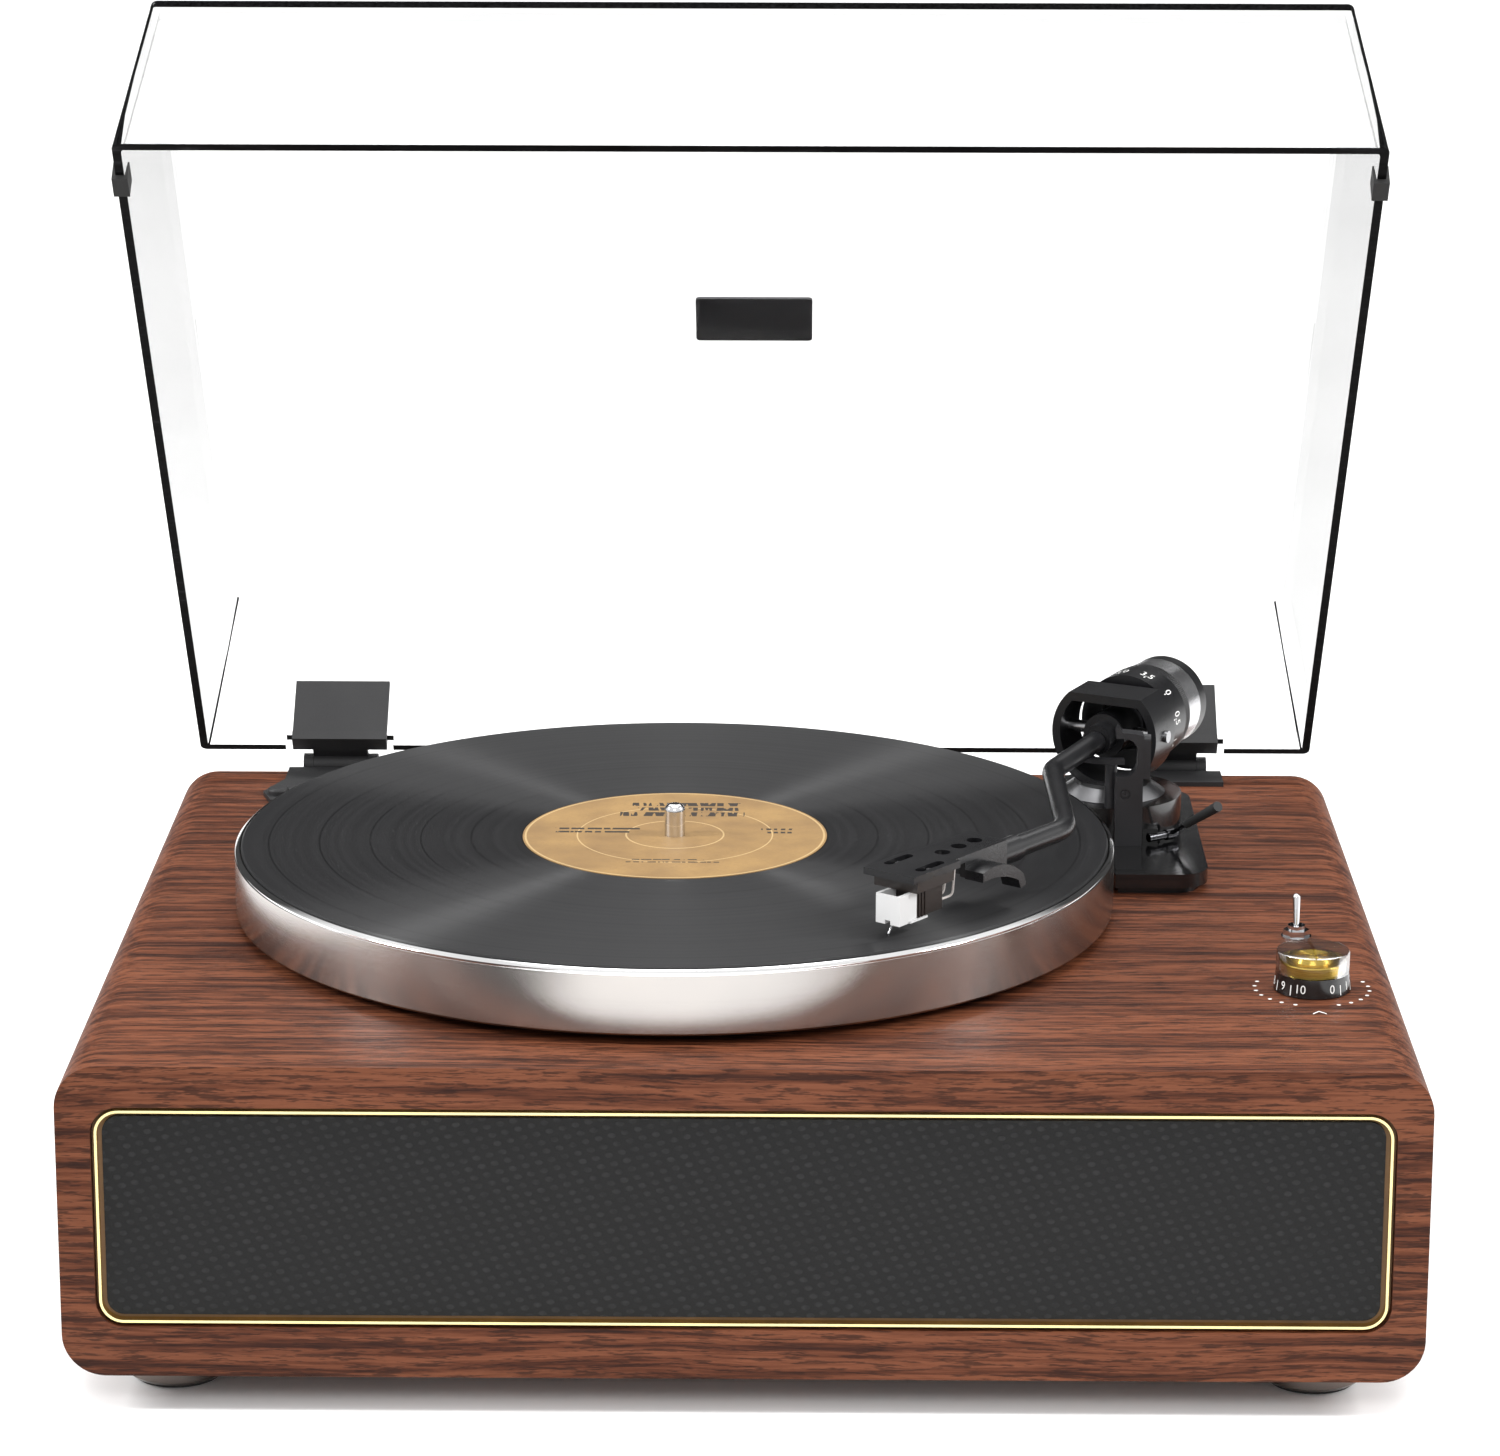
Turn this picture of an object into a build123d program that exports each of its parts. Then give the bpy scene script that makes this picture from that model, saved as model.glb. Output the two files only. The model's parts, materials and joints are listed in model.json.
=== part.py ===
from build123d import *
import math
import os

# Belt-drive record player: wooden cabinet with front speakers, platter, S-shaped tonearm, hinged clear lid.
# Millimetres. X runs left to right, Y from the front face to the back, Z up from the surface it stands on.

# --- cabinet ---
CAB_W, CAB_D, CAB_H = 438.0, 348.0, 105.0
CAB_R = 14.0
WALL = 10.0
FOOT_H, FOOT_R = 12.0, 17.2
FOOT_INSET = 33.0
TOP_Z = FOOT_H + CAB_H
SEAT = 0.1
PAD_H = 2.5

# --- front grille ---
WINDOW_W, WINDOW_H, WINDOW_R = 415.6, 74.4, 9.0
WINDOW_Z = FOOT_H + 54.0
RING_GAP, RING_T, CLOTH_GAP = 1.2, 0.85, 1.5
BAFFLE_T, GRILLE_Y = 10.0, 4.0
SPEAKER_X, SPEAKER_R = 138.0, 30.0

# --- rear panel ---
REAR_T = 6.0
JACK_Z = FOOT_H + 40.0
RCA_X = (-150.0, -130.0)
AUX_X, DC_X = -100.0, -70.0

# --- platter ---
PLATTER_X, PLATTER_Y = -26.0, 176.0
PLATTER_R = 152.8
PLATTER_Z0 = TOP_Z + 3.0
RIM_SIDE_Z, RIM_TOP_Z = TOP_Z + 23.9, TOP_Z + 25.2
MAT_T, RECORD_T = 1.6, 1.8
RECORD_Z = TOP_Z + 25.9
MAT_Z0 = RECORD_Z - RECORD_T - MAT_T
RECORD_R, LABEL_R, LABEL_T = 150.75, 53.0, 0.2
RECESS_R = 151.2
DECK_T, RIM_WALL = 5.5, 5.0
DECK_Z0 = MAT_Z0 - DECK_T
SHAFT_R, PIN_R, PIN_H = 4.0, 3.58, 11.3
RUN = 0.05
BELT_RING_R, BELT_T, BELT_W = 62.0, 0.8, 4.0
PULLEY_R = 6.0
MOTOR_X, MOTOR_Y = -98.0, 232.0
MOTOR_R, MOTOR_H = 16.0, 20.0
HOUSING_R = 9.0
HOUSING_Z0 = TOP_Z - 24.0

# --- tonearm ---
ARM_X, ARM_Y = 131.0, 255.0
ARM_Z = TOP_Z + 43.0
ARM_ANGLE = 244.0
BARREL_R, BARREL_BORE, BARREL_HALF, BARREL_FLAT = 20.3, 17.2, 9.0, 14.8
HUB_R = 8.0
TUBE_R = 3.7
TUBE_R1, TUBE_R2 = 14.0, 20.0
TUBE_DROP = 0.025
BEND_1 = 56.0
BEND_2X, BEND_2Y = 108.1, 137.6
HEAD_ANGLE = 232.3
HEAD_Z = TOP_Z + 40.0
LOCK_T0, LOCK_T1, LOCK_R = 30.0, 42.0, 4.5
NECK_T0, NECK_T1 = 42.2, 66.0
PLATE_T0, PLATE_STEP, PLATE_T1 = 44.0, 73.0, 98.6
PLATE_W0, PLATE_W1, PLATE_T = 16.6, 20.6, 2.4
PLATE_SIDE = -1.6
PLATE_Z1 = TOP_Z + 47.2
STYLUS_T = 100.3
BLOCK_Z0, BLOCK_H, BLOCK_W, BLOCK_L = TOP_Z + 30.4, 10.0, 9.6, 9.4
SLOT_SIDE, SLOT_BACK = 6.35, 14.0
MOUNT_H = 4.3
LEADS = ((-3.0, 1.0, 0.0), (-1.0, 3.2, 0.8), (1.0, 0.0, 1.6), (3.0, 2.2, 2.4))
BASE_X1, BASE_Y0, BASE_Y1 = 162.0, 191.0, 302.0
BASE_X0 = 100.0
BASE_FOOT_H, BASE_T = 2.6, 5.0
BASE_Z1 = TOP_Z + BASE_FOOT_H + BASE_T
PLATTER_CLEAR = 2.7
TOWER_R, TOWER_Z1 = 25.0, TOP_Z + 20.4
CONE_R0, CONE_R1, CONE_Z1 = 19.0, 13.9, TOP_Z + 24.2
NECK_R = 7.0
YAW_R = 4.0
YAW_Z0 = TOP_Z + 11.0
POST_Y0, POST_Y1 = 224.0, 230.0
POST_X0, POST_X1 = 130.2, 140.0
SLOT_X1, SLOT_R = 137.9, 4.9
SLOT_Z0, SLOT_Z1 = ARM_Z - TUBE_R - 5.3, ARM_Z + TUBE_R + 1.4
HORN_Z1 = ARM_Z + 9.2
PRONG_T, PRONG_Z0, PRONG_Z1 = 2.6, ARM_Z - 10.0, ARM_Z + 4.4
MARK_Z, MARK_R = ARM_Z - 15.3, 1.9
RAIL_R, RAIL_HALF, RAIL_T = 22.0, 1.3, 2.0
RAIL_Z1 = ARM_Z - TUBE_DROP * RAIL_R - TUBE_R - 0.45
LIFT_ANGLE, LIFT_R = 265.0, 2.2
STUB_R = 5.0
CUE_X, CUE_Y, CUE_Z = 150.5, 233.0, BASE_Z1 + 2.6
CUE_WAND, CUE_GRIP = 11.2, 20.8
CUE_DIR = (19.0, -28.0, 21.0)

# --- counterweight, distances behind the arm pivot ---
DIAL_S0, DIAL_S1, DIAL_R = 12.0, 26.5, 17.6
GRIP_S1, GRIP_R = 31.5, 17.2
WEIGHT_S1, WEIGHT_R = 43.2, 16.6
END_S1, END_R = 50.6, 16.4
SLEEVE_R = 8.0

# --- controls ---
KNOB_X, KNOB_Y = 188.0, 86.0
KNOB_R, KNOB_TOP_R, KNOB_H = 12.9, 12.2, 13.5
SKIRT_H, DRUM_H = 6.2, 3.6
SWITCH_X, SWITCH_Y = 188.0, 143.0
LEVER_TILT = 13.0

# --- lid, drawn closed and then turned open about the hinge pins ---
LID_W, LID_Y0, LID_Y1, LID_H = 423.3, 15.0, 344.0, 72.7
LID_Z0 = TOP_Z + 2.0
LID_T, LID_R = 3.0, 2.5
LID_IN_X, LID_IN_Y0, LID_IN_Y1 = 6.9, 4.2, 3.5
LID_OPEN = 52.9
HINGE_X, HINGE_Y, HINGE_Z = 158.5, 352.6, TOP_Z + 1.9
NOTCH_W, NOTCH_H = 41.0, 4.5
LEAF_W, LEAF_H, LEAF_T = 36.0, 28.5, 2.0
FOOT_T = 1.8
KNUCKLE_R, KNUCKLE_IN, KNUCKLE_OUT, HINGE_PIN_R = 4.0, 10.4, 14.2, 1.6
BUMPER_Y, BUMPER_L, BUMPER_HALF, BUMPER_H = 34.0, 8.5, 2.7, 6.0


def block(x0, x1, y0, y1, z0, z1):
    """Box between two corners."""
    return Pos((x0 + x1) / 2, (y0 + y1) / 2, (z0 + z1) / 2) * Box(abs(x1 - x0), abs(y1 - y0), abs(z1 - z0))


def post(x, y, z0, z1, r):
    """Upright cylinder."""
    return Pos(x, y, (z0 + z1) / 2) * Cylinder(r, z1 - z0)


def rod(p, q, r):
    """Cylinder from p to q."""
    axis = Vector(q) - Vector(p)
    return Plane(origin=p, z_dir=axis) * Pos(0, 0, axis.length / 2) * Cylinder(r, axis.length)


def rounded_slab(w, h, r, y0, y1, z):
    """Rounded rectangle of width w and height h, centred on x = 0 and z, from y0 to y1."""
    plane = Plane(origin=(0, y1, z), x_dir=(1, 0, 0), z_dir=(0, -1, 0))
    return extrude(plane * RectangleRounded(w, h, r), y1 - y0)


def on_arm(s, side=0.0, up=0.0):
    """Point s ahead of the arm pivot along the arm, side to its right, up above its axis."""
    a = math.radians(ARM_ANGLE)
    x = ARM_X + s * math.cos(a) - side * math.sin(a)
    return (x, ARM_Y + s * math.sin(a) + side * math.cos(a), ARM_Z + up)


def arm_plane(s):
    """Plane across the arm axis, s ahead of the pivot, facing forwards, its x to the side and y up."""
    a = math.radians(ARM_ANGLE)
    return Plane(origin=on_arm(s), x_dir=(-math.sin(a), math.cos(a), 0), z_dir=(math.cos(a), math.sin(a), 0))


def on_head(t, side=0.0, z=HEAD_Z):
    """Point t beyond the second bend along the headshell's line, side to its right."""
    a = math.radians(HEAD_ANGLE)
    x = BEND_2X + t * math.cos(a) - side * math.sin(a)
    return (x, BEND_2Y + t * math.sin(a) + side * math.cos(a), z)


def head_plane(t, z):
    """Plane on the headshell's line, its x forwards, its y to the side and its z up."""
    a = math.radians(HEAD_ANGLE)
    return Plane(origin=on_head(t, 0, z), x_dir=(math.cos(a), math.sin(a), 0), z_dir=(0, 0, 1))


def ring_on_arm(s0, s1, r_out, r_in):
    """Ring round the arm axis between two distances behind the pivot."""
    return extrude(arm_plane(-s1) * (Circle(r_out) - Circle(r_in)), s1 - s0)


# ---------------------------------------------------------------- cabinet and what is fixed in it
def cabinet_shell():
    body = rounded_slab(CAB_W, CAB_H, CAB_R, 0, CAB_D, FOOT_H + CAB_H / 2)
    inner = rounded_slab(CAB_W - 2 * WALL, CAB_H - 2 * WALL, CAB_R - 8, WALL, CAB_D, FOOT_H + CAB_H / 2)
    window = rounded_slab(WINDOW_W, WINDOW_H, WINDOW_R, 0, WALL, WINDOW_Z)
    body = body - inner - window
    body -= post(PLATTER_X, PLATTER_Y, HOUSING_Z0, TOP_Z, HOUSING_R)
    body -= post(MOTOR_X, MOTOR_Y, TOP_Z - WALL, TOP_Z, PULLEY_R + 2)
    body -= post(ARM_X, ARM_Y, TOP_Z - WALL, TOP_Z, YAW_R + 2)
    body -= post(KNOB_X, KNOB_Y, TOP_Z - WALL, TOP_Z, 3.6)
    body -= post(SWITCH_X, SWITCH_Y, TOP_Z - WALL, TOP_Z, 3.1)
    return body


def baffle():
    """Board the speakers are screwed to; its front step fills the window behind the cloth."""
    plate = rounded_slab(CAB_W - 2 * WALL - 2 * SEAT, CAB_H - 2 * WALL - 2 * SEAT, CAB_R - 8,
                         WALL, WALL + BAFFLE_T, FOOT_H + CAB_H / 2)
    plate += rounded_slab(WINDOW_W - 2 * SEAT, WINDOW_H - 2 * SEAT, WINDOW_R, GRILLE_Y, WALL, WINDOW_Z)
    for x in (-SPEAKER_X, SPEAKER_X):
        plate -= rod((x, 0, WINDOW_Z), (x, WALL + BAFFLE_T, WINDOW_Z), SPEAKER_R - 3)
    return plate


def grille_ring():
    w, h, r = WINDOW_W - 2 * RING_GAP, WINDOW_H - 2 * RING_GAP, WINDOW_R - RING_GAP
    y0, y1 = 0.6, GRILLE_Y
    outer = rounded_slab(w, h, r, y0, y1, WINDOW_Z)
    return outer - rounded_slab(w - 2 * RING_T, h - 2 * RING_T, r - RING_T, y0, y1, WINDOW_Z)


def grille_cloth():
    inset = RING_GAP + RING_T + CLOTH_GAP
    return rounded_slab(WINDOW_W - 2 * inset, WINDOW_H - 2 * inset, WINDOW_R - inset, 2.2, GRILLE_Y, WINDOW_Z)


def speakers():
    drivers, cones = [], []
    y0 = WALL + BAFFLE_T
    for x in (-SPEAKER_X, SPEAKER_X):
        face = Plane(origin=(x, y0, WINDOW_Z), x_dir=(1, 0, 0), z_dir=(0, 1, 0))
        flange = extrude(face * (Circle(SPEAKER_R + 4) - Circle(SPEAKER_R - 3)), 2.5)
        bowl = loft([face.offset(2.5) * Circle(SPEAKER_R), face.offset(20) * Circle(14)])
        bowl -= loft([face.offset(2.5) * Circle(SPEAKER_R - 2), face.offset(20) * Circle(12)])
        drivers.append(flange + bowl + extrude(face.offset(20) * Circle(20), 14))
        cone = loft([face.offset(2.5) * Circle(SPEAKER_R - 3.4), face.offset(17) * Circle(10)])
        cone -= loft([face.offset(2.5) * Circle(SPEAKER_R - 4.4), face.offset(16) * Circle(9.2)])
        cones.append(cone)
    return Compound(children=drivers), Compound(children=cones)


def rear_panel():
    plate = rounded_slab(CAB_W - 2 * WALL - 2 * SEAT, CAB_H - 2 * WALL - 2 * SEAT, CAB_R - 8,
                         CAB_D - REAR_T, CAB_D, FOOT_H + CAB_H / 2)
    for x, r in ((RCA_X[0], 4.1), (RCA_X[1], 4.1), (AUX_X, 4.1), (DC_X, 4.6)):
        plate -= rod((x, CAB_D - REAR_T, JACK_Z), (x, CAB_D, JACK_Z), r)
    for x, z in rear_screw_points():
        plate -= rod((x, CAB_D - REAR_T, z), (x, CAB_D, z), 1.6)
    return plate


def rear_screw_points():
    zs = (FOOT_H + WALL + 6, TOP_Z - WALL - 6)
    return [(x, z) for x in (-200.0, 0.0, 200.0) for z in zs]


def rear_screws():
    out = []
    for x, z in rear_screw_points():
        head = rod((x, CAB_D, z), (x, CAB_D + 1.6, z), 3.0)
        slot = block(x - 2.2, x + 2.2, CAB_D + 0.9, CAB_D + 1.6, z - 0.35, z + 0.35)
        slot += block(x - 0.35, x + 0.35, CAB_D + 0.9, CAB_D + 1.6, z - 2.2, z + 2.2)
        out.append(head + rod((x, CAB_D - 14, z), (x, CAB_D, z), 1.5) - slot)
    return Compound(children=out)


def rca_jacks():
    out = []
    for x in RCA_X:
        shell = rod((x, CAB_D - REAR_T - 8, JACK_Z), (x, CAB_D + 8.5, JACK_Z), 4.0)
        shell += rod((x, CAB_D, JACK_Z), (x, CAB_D + 1.5, JACK_Z), 6.0)
        out.append(shell - rod((x, CAB_D - 1, JACK_Z), (x, CAB_D + 8.5, JACK_Z), 1.65))
    return Compound(children=out)


def aux_jack():
    body = rod((AUX_X, CAB_D - REAR_T - 10, JACK_Z), (AUX_X, CAB_D + 2.5, JACK_Z), 4.0)
    body += rod((AUX_X, CAB_D, JACK_Z), (AUX_X, CAB_D + 1.8, JACK_Z), 5.2)
    return body - rod((AUX_X, CAB_D - 12, JACK_Z), (AUX_X, CAB_D + 2.5, JACK_Z), 1.8)


def dc_inlet():
    body = rod((DC_X, CAB_D - REAR_T - 8, JACK_Z), (DC_X, CAB_D + 0.8, JACK_Z), 4.5)
    body += rod((DC_X, CAB_D, JACK_Z), (DC_X, CAB_D + 0.8, JACK_Z), 6.0)
    body -= rod((DC_X, CAB_D - 9, JACK_Z), (DC_X, CAB_D + 0.8, JACK_Z), 2.9)
    return body + rod((DC_X, CAB_D - 10, JACK_Z), (DC_X, CAB_D - 0.5, JACK_Z), 1.0)


def foot_points():
    x = CAB_W / 2 - FOOT_INSET
    return [(sx * x, y) for sx in (-1, 1) for y in (FOOT_INSET, CAB_D - FOOT_INSET)]


def feet():
    shells, pads = [], []
    for x, y in foot_points():
        shell = post(x, y, PAD_H - 1, FOOT_H, FOOT_R)
        shell = chamfer(shell.edges().group_by(Axis.Z)[0], 1.2)
        shells.append(shell - post(x, y, PAD_H - 1, PAD_H + SEAT, FOOT_R - 3))
        pads.append(post(x, y, 0, PAD_H, FOOT_R - 3 - SEAT))
    return Compound(children=shells), Compound(children=pads)


def amp_board():
    """Circuit board on four stand-offs with its larger components."""
    z0 = FOOT_H + WALL
    z1 = z0 + 7.6
    body = block(-60, 60, 250, 320, z0 + 6, z1)
    for x in (-54, 54):
        for y in (256, 314):
            body += post(x, y, z0, z0 + 6, 3)
    body += post(-35, 300, z1, z1 + 20, 9)
    body += post(-10, 300, z1, z1 + 15, 6)
    body += block(15, 50, 270, 282, z1, z1 + 22)
    return body + block(-40, -22, 262, 280, z1, z1 + 3.5)


def bearing_housing():
    body = post(PLATTER_X, PLATTER_Y, HOUSING_Z0, TOP_Z, HOUSING_R - SEAT)
    body += post(PLATTER_X, PLATTER_Y, TOP_Z, TOP_Z + 2.4, 16)
    return body - post(PLATTER_X, PLATTER_Y, HOUSING_Z0 + 4, TOP_Z + 2.4, SHAFT_R + RUN)


def motor_body():
    z1 = TOP_Z - WALL
    body = post(MOTOR_X, MOTOR_Y, z1 - MOTOR_H, z1, MOTOR_R)
    return body - post(MOTOR_X, MOTOR_Y, z1 - 12, z1, 1.05)


def belt():
    z = PLATTER_Z0 + 4.5
    plane = Plane.XY.offset(z)
    shapes = []
    for extra in (BELT_T + RUN, RUN):
        circles = Pos(PLATTER_X, PLATTER_Y) * Circle(BELT_RING_R + extra)
        circles += Pos(MOTOR_X, MOTOR_Y) * Circle(PULLEY_R + extra)
        shapes.append(make_hull(circles.edges()))
    return extrude(plane * shapes[0], BELT_W) - extrude(plane * shapes[1], BELT_W)


# ---------------------------------------------------------------- platter and record
def platter():
    x_in = PLATTER_R - RIM_WALL
    profile = Polyline((SHAFT_R, DECK_Z0 - 12), (14, DECK_Z0 - 12), (14, DECK_Z0), (BELT_RING_R - 4, DECK_Z0),
                       (BELT_RING_R - 4, PLATTER_Z0 + 1.5), (BELT_RING_R, PLATTER_Z0 + 1.5),
                       (BELT_RING_R, DECK_Z0), (x_in, DECK_Z0), (x_in, PLATTER_Z0),
                       (PLATTER_R - 0.6, PLATTER_Z0), (PLATTER_R, PLATTER_Z0 + 0.6),
                       (PLATTER_R, RIM_SIDE_Z - 0.5), (PLATTER_R - 0.35, RIM_SIDE_Z - 0.3),
                       (PLATTER_R - 0.05, RIM_SIDE_Z), (PLATTER_R - 1.3, RIM_TOP_Z), (RECESS_R, RIM_TOP_Z),
                       (RECESS_R, MAT_Z0), (SHAFT_R, MAT_Z0), close=True)
    face = make_face(Plane.XZ * profile)
    return Pos(PLATTER_X, PLATTER_Y, 0) * revolve(face, Axis.Z)


def disc(z0, z1, r, hole):
    return post(PLATTER_X, PLATTER_Y, z0, z1, r) - post(PLATTER_X, PLATTER_Y, z0, z1, hole)


def mat():
    return disc(MAT_Z0, MAT_Z0 + MAT_T, RECORD_R - 0.2, SHAFT_R + 0.2)


def record():
    z0, z1 = RECORD_Z - RECORD_T, RECORD_Z
    body = disc(z0, z1 - 0.3, RECORD_R, PIN_R + RUN)
    body += disc(z1 - 0.3, z1 - LABEL_T, LABEL_R + 3, PIN_R + RUN)
    body += disc(z1 - 0.3, z1, RECORD_R, RECORD_R - 3.5)
    body += disc(z1 - 0.3, z1 - 0.1, RECORD_R - 3.5, LABEL_R + 3)
    return body


def label():
    return disc(RECORD_Z - LABEL_T, RECORD_Z, LABEL_R, PIN_R + RUN)


def spindle():
    shaft = post(PLATTER_X, PLATTER_Y, HOUSING_Z0 + 4 + RUN, MAT_Z0 + MAT_T, SHAFT_R)
    pin = post(PLATTER_X, PLATTER_Y, MAT_Z0 + MAT_T, RECORD_Z + PIN_H, PIN_R)
    return shaft + fillet(pin.edges().group_by(Axis.Z)[-1], 2.4)


def motor_pulley():
    shaft = post(MOTOR_X, MOTOR_Y, TOP_Z - WALL - 10, PLATTER_Z0 + 1, 1.0)
    pulley = post(MOTOR_X, MOTOR_Y, PLATTER_Z0 + 1, PLATTER_Z0 + 10.5, PULLEY_R)
    pulley += post(MOTOR_X, MOTOR_Y, PLATTER_Z0 + 1, PLATTER_Z0 + 3.8, PULLEY_R + 1)
    return shaft + pulley


# ---------------------------------------------------------------- tonearm stand
def arm_base():
    outline = Pos((BASE_X0 + BASE_X1) / 2, (BASE_Y0 + BASE_Y1) / 2)
    outline = outline * RectangleRounded(BASE_X1 - BASE_X0, BASE_Y1 - BASE_Y0, 11)
    clear = Pos(PLATTER_X, PLATTER_Y) * Circle(PLATTER_R + PLATTER_CLEAR)
    foot = Pos((BASE_X0 + BASE_X1) / 2, (BASE_Y0 + BASE_Y1) / 2)
    foot = foot * RectangleRounded(BASE_X1 - BASE_X0 - 6, BASE_Y1 - BASE_Y0 - 6, 9)
    foot -= Pos(PLATTER_X, PLATTER_Y) * Circle(PLATTER_R + PLATTER_CLEAR + 1.5)
    plate = extrude(Plane.XY.offset(TOP_Z + BASE_FOOT_H) * (outline - clear), BASE_T)
    plate += extrude(Plane.XY.offset(TOP_Z) * foot, BASE_FOOT_H)
    tower = Pos(ARM_X, ARM_Y) * Circle(TOWER_R) - clear
    plate += extrude(Plane.XY.offset(BASE_Z1) * tower, TOWER_Z1 - BASE_Z1)
    plate += block(129.0, POST_X1 - 0.4, BASE_Y0 + 3.5, POST_Y0, BASE_Z1, BASE_Z1 + 0.8)
    ear = block(CUE_X - 10.0, CUE_X - 4.5, CUE_Y - 4, CUE_Y + 6, BASE_Z1, CUE_Z + 3)
    plate = plate + ear
    plate -= post(ARM_X, ARM_Y, YAW_Z0 - RUN, TOWER_Z1, YAW_R + RUN)
    x, y = lift_point()
    return plate - post(x, y, BASE_Z1 + 1.0, TOWER_Z1, LIFT_R + RUN) - cue_axle(RUN)


def arm_cone():
    """Conical skirt that turns with the arm and meets the underside of its barrel."""
    z0 = TOWER_Z1 + 2 * RUN
    plane = Plane(origin=(ARM_X, ARM_Y, z0), z_dir=(0, 0, 1))
    cone = loft([plane * Circle(CONE_R0), plane.offset(CONE_Z1 - z0) * Circle(CONE_R1)])
    barrel = extrude(arm_plane(-BARREL_HALF) * Circle(BARREL_R), 2 * BARREL_HALF)
    return cone - barrel - post(ARM_X, ARM_Y, z0, CONE_Z1, NECK_R)


def rest_post():
    """Flat post with a slot open to the left for the resting arm, a horn over it and a slotted screw below."""
    face = Plane(origin=(0, POST_Y1, 0), x_dir=(1, 0, 0), z_dir=(0, -1, 0))
    depth = POST_Y1 - POST_Y0
    outline = Polyline((POST_X0, BASE_Z1), (POST_X1, BASE_Z1), (POST_X1, SLOT_Z1 + 1.0),
                       (POST_X1 - 4.0, SLOT_Z1 + 1.8), (POST_X0 + 2.2, HORN_Z1 - 2.0),
                       (POST_X0 + 0.8, HORN_Z1), (POST_X0, SLOT_Z1 + 2.6), close=True)
    body = extrude(face * make_face(outline), depth)
    seat = RectangleRounded(2 * (SLOT_X1 - POST_X0), SLOT_Z1 - SLOT_Z0, SLOT_R)
    body -= extrude(face * Pos(POST_X0, (SLOT_Z0 + SLOT_Z1) / 2) * seat, depth)
    x = (POST_X0 + POST_X1) / 2 - 1.4
    well = face.offset(depth - 0.6)
    body -= extrude(well * Pos(x, MARK_Z) * (Circle(MARK_R) - Circle(MARK_R - 0.6)), 0.6)
    return body - extrude(well * Pos(x, MARK_Z + 0.7) * Rectangle(0.7, 1.8), 0.6)


def rest_prong():
    x0, x1 = POST_X1, POST_X1 + PRONG_T
    y0, y1 = POST_Y0 + 0.6, POST_Y0 + 4.2
    mid = (y0 + y1) / 2
    return block(x0, x1, y0, y1, PRONG_Z0, PRONG_Z1) + rod((x0, mid, PRONG_Z1), (x1, mid, PRONG_Z1), 1.8)


def lift_point():
    a = math.radians(LIFT_ANGLE)
    return ARM_X + RAIL_R * math.cos(a), ARM_Y + RAIL_R * math.sin(a)


def lift_rail():
    arc = Circle(RAIL_R + RAIL_HALF) - Circle(RAIL_R - RAIL_HALF)
    wedge = make_face(Polyline((0, 0), *[(40 * math.cos(math.radians(a)), 40 * math.sin(math.radians(a)))
                                         for a in (216, 240, 260, 277)], close=True))
    rail = extrude(Plane.XY.offset(RAIL_Z1 - RAIL_T) * (Pos(ARM_X, ARM_Y) * (arc & wedge)), RAIL_T)
    x, y = lift_point()
    return rail + post(x, y, BASE_Z1 + 2.0, RAIL_Z1 - RAIL_T, LIFT_R)


def cue_unit():
    return Vector(*CUE_DIR).normalized()


def cue_pin(far, near, r):
    """Pin on the lever's axis, from far on its left to near on its right."""
    side = Vector(CUE_DIR[1], -CUE_DIR[0], 0).normalized()
    centre = Vector(CUE_X, CUE_Y, CUE_Z)
    return rod(centre + side * far, centre - side * near, r)


def cue_axle(extra=0.0):
    return cue_pin(9.5, 3.0, 1.5 + extra)


def cue_lever():
    start = Vector(CUE_X, CUE_Y, CUE_Z)
    return cue_axle() + cue_pin(1.8, 1.8, 2.0) + rod(start, start + cue_unit() * (CUE_WAND + 1), 0.8)


def cue_grip():
    start = Vector(CUE_X, CUE_Y, CUE_Z) + cue_unit() * CUE_WAND
    grip = Plane(origin=start, z_dir=cue_unit())
    body = loft([grip * Circle(1.4), grip.offset(CUE_GRIP) * Circle(1.9)])
    return body - rod(start, start + cue_unit(), 0.8)


# ---------------------------------------------------------------- tonearm
def yoke():
    disc_face = Circle(BARREL_R) - Circle(BARREL_BORE)
    ring = extrude(arm_plane(-BARREL_HALF) * disc_face, 2 * BARREL_HALF)
    top = block(ARM_X - 40, ARM_X + 40, ARM_Y - 40, ARM_Y + 40, ARM_Z + BARREL_FLAT, ARM_Z + 40)
    slab = Pos(0, BARREL_FLAT - 1.6) * Rectangle(2 * BARREL_R, 3.2) & Circle(BARREL_R - SEAT)
    roof = extrude(arm_plane(-BARREL_HALF) * slab, 2 * BARREL_HALF)
    body = ring - top + roof
    neck = post(ARM_X, ARM_Y, TOWER_Z1 + 2 * RUN, ARM_Z - BARREL_BORE - 1, NECK_R)
    body += neck - extrude(arm_plane(-20) * Circle(BARREL_BORE), 40)
    body += post(ARM_X, ARM_Y, YAW_Z0, TOWER_Z1 + 2 * RUN, YAW_R)
    for side in (-1, 1):
        body -= rod(on_arm(0, side * 10), on_arm(0, side * 25), 2.2)
    return body


def pivot_screws():
    out = []
    for side in (-1, 1):
        screw = rod(on_arm(0, side * (HUB_R + 1.05)), on_arm(0, side * (BARREL_R + 1.2)), 2.2 - 0.02)
        out.append(screw)
    return Compound(children=out)


def arm_hub():
    body = extrude(arm_plane(-9) * Circle(HUB_R), 18)
    body += extrude(arm_plane(9) * Circle(5.4), 7)
    body += rod(on_arm(-9), on_arm(-END_S1 - 1.0), STUB_R)
    return body + rod(on_arm(0, -HUB_R - 1), on_arm(0, HUB_R + 1), 2.0)


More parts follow.
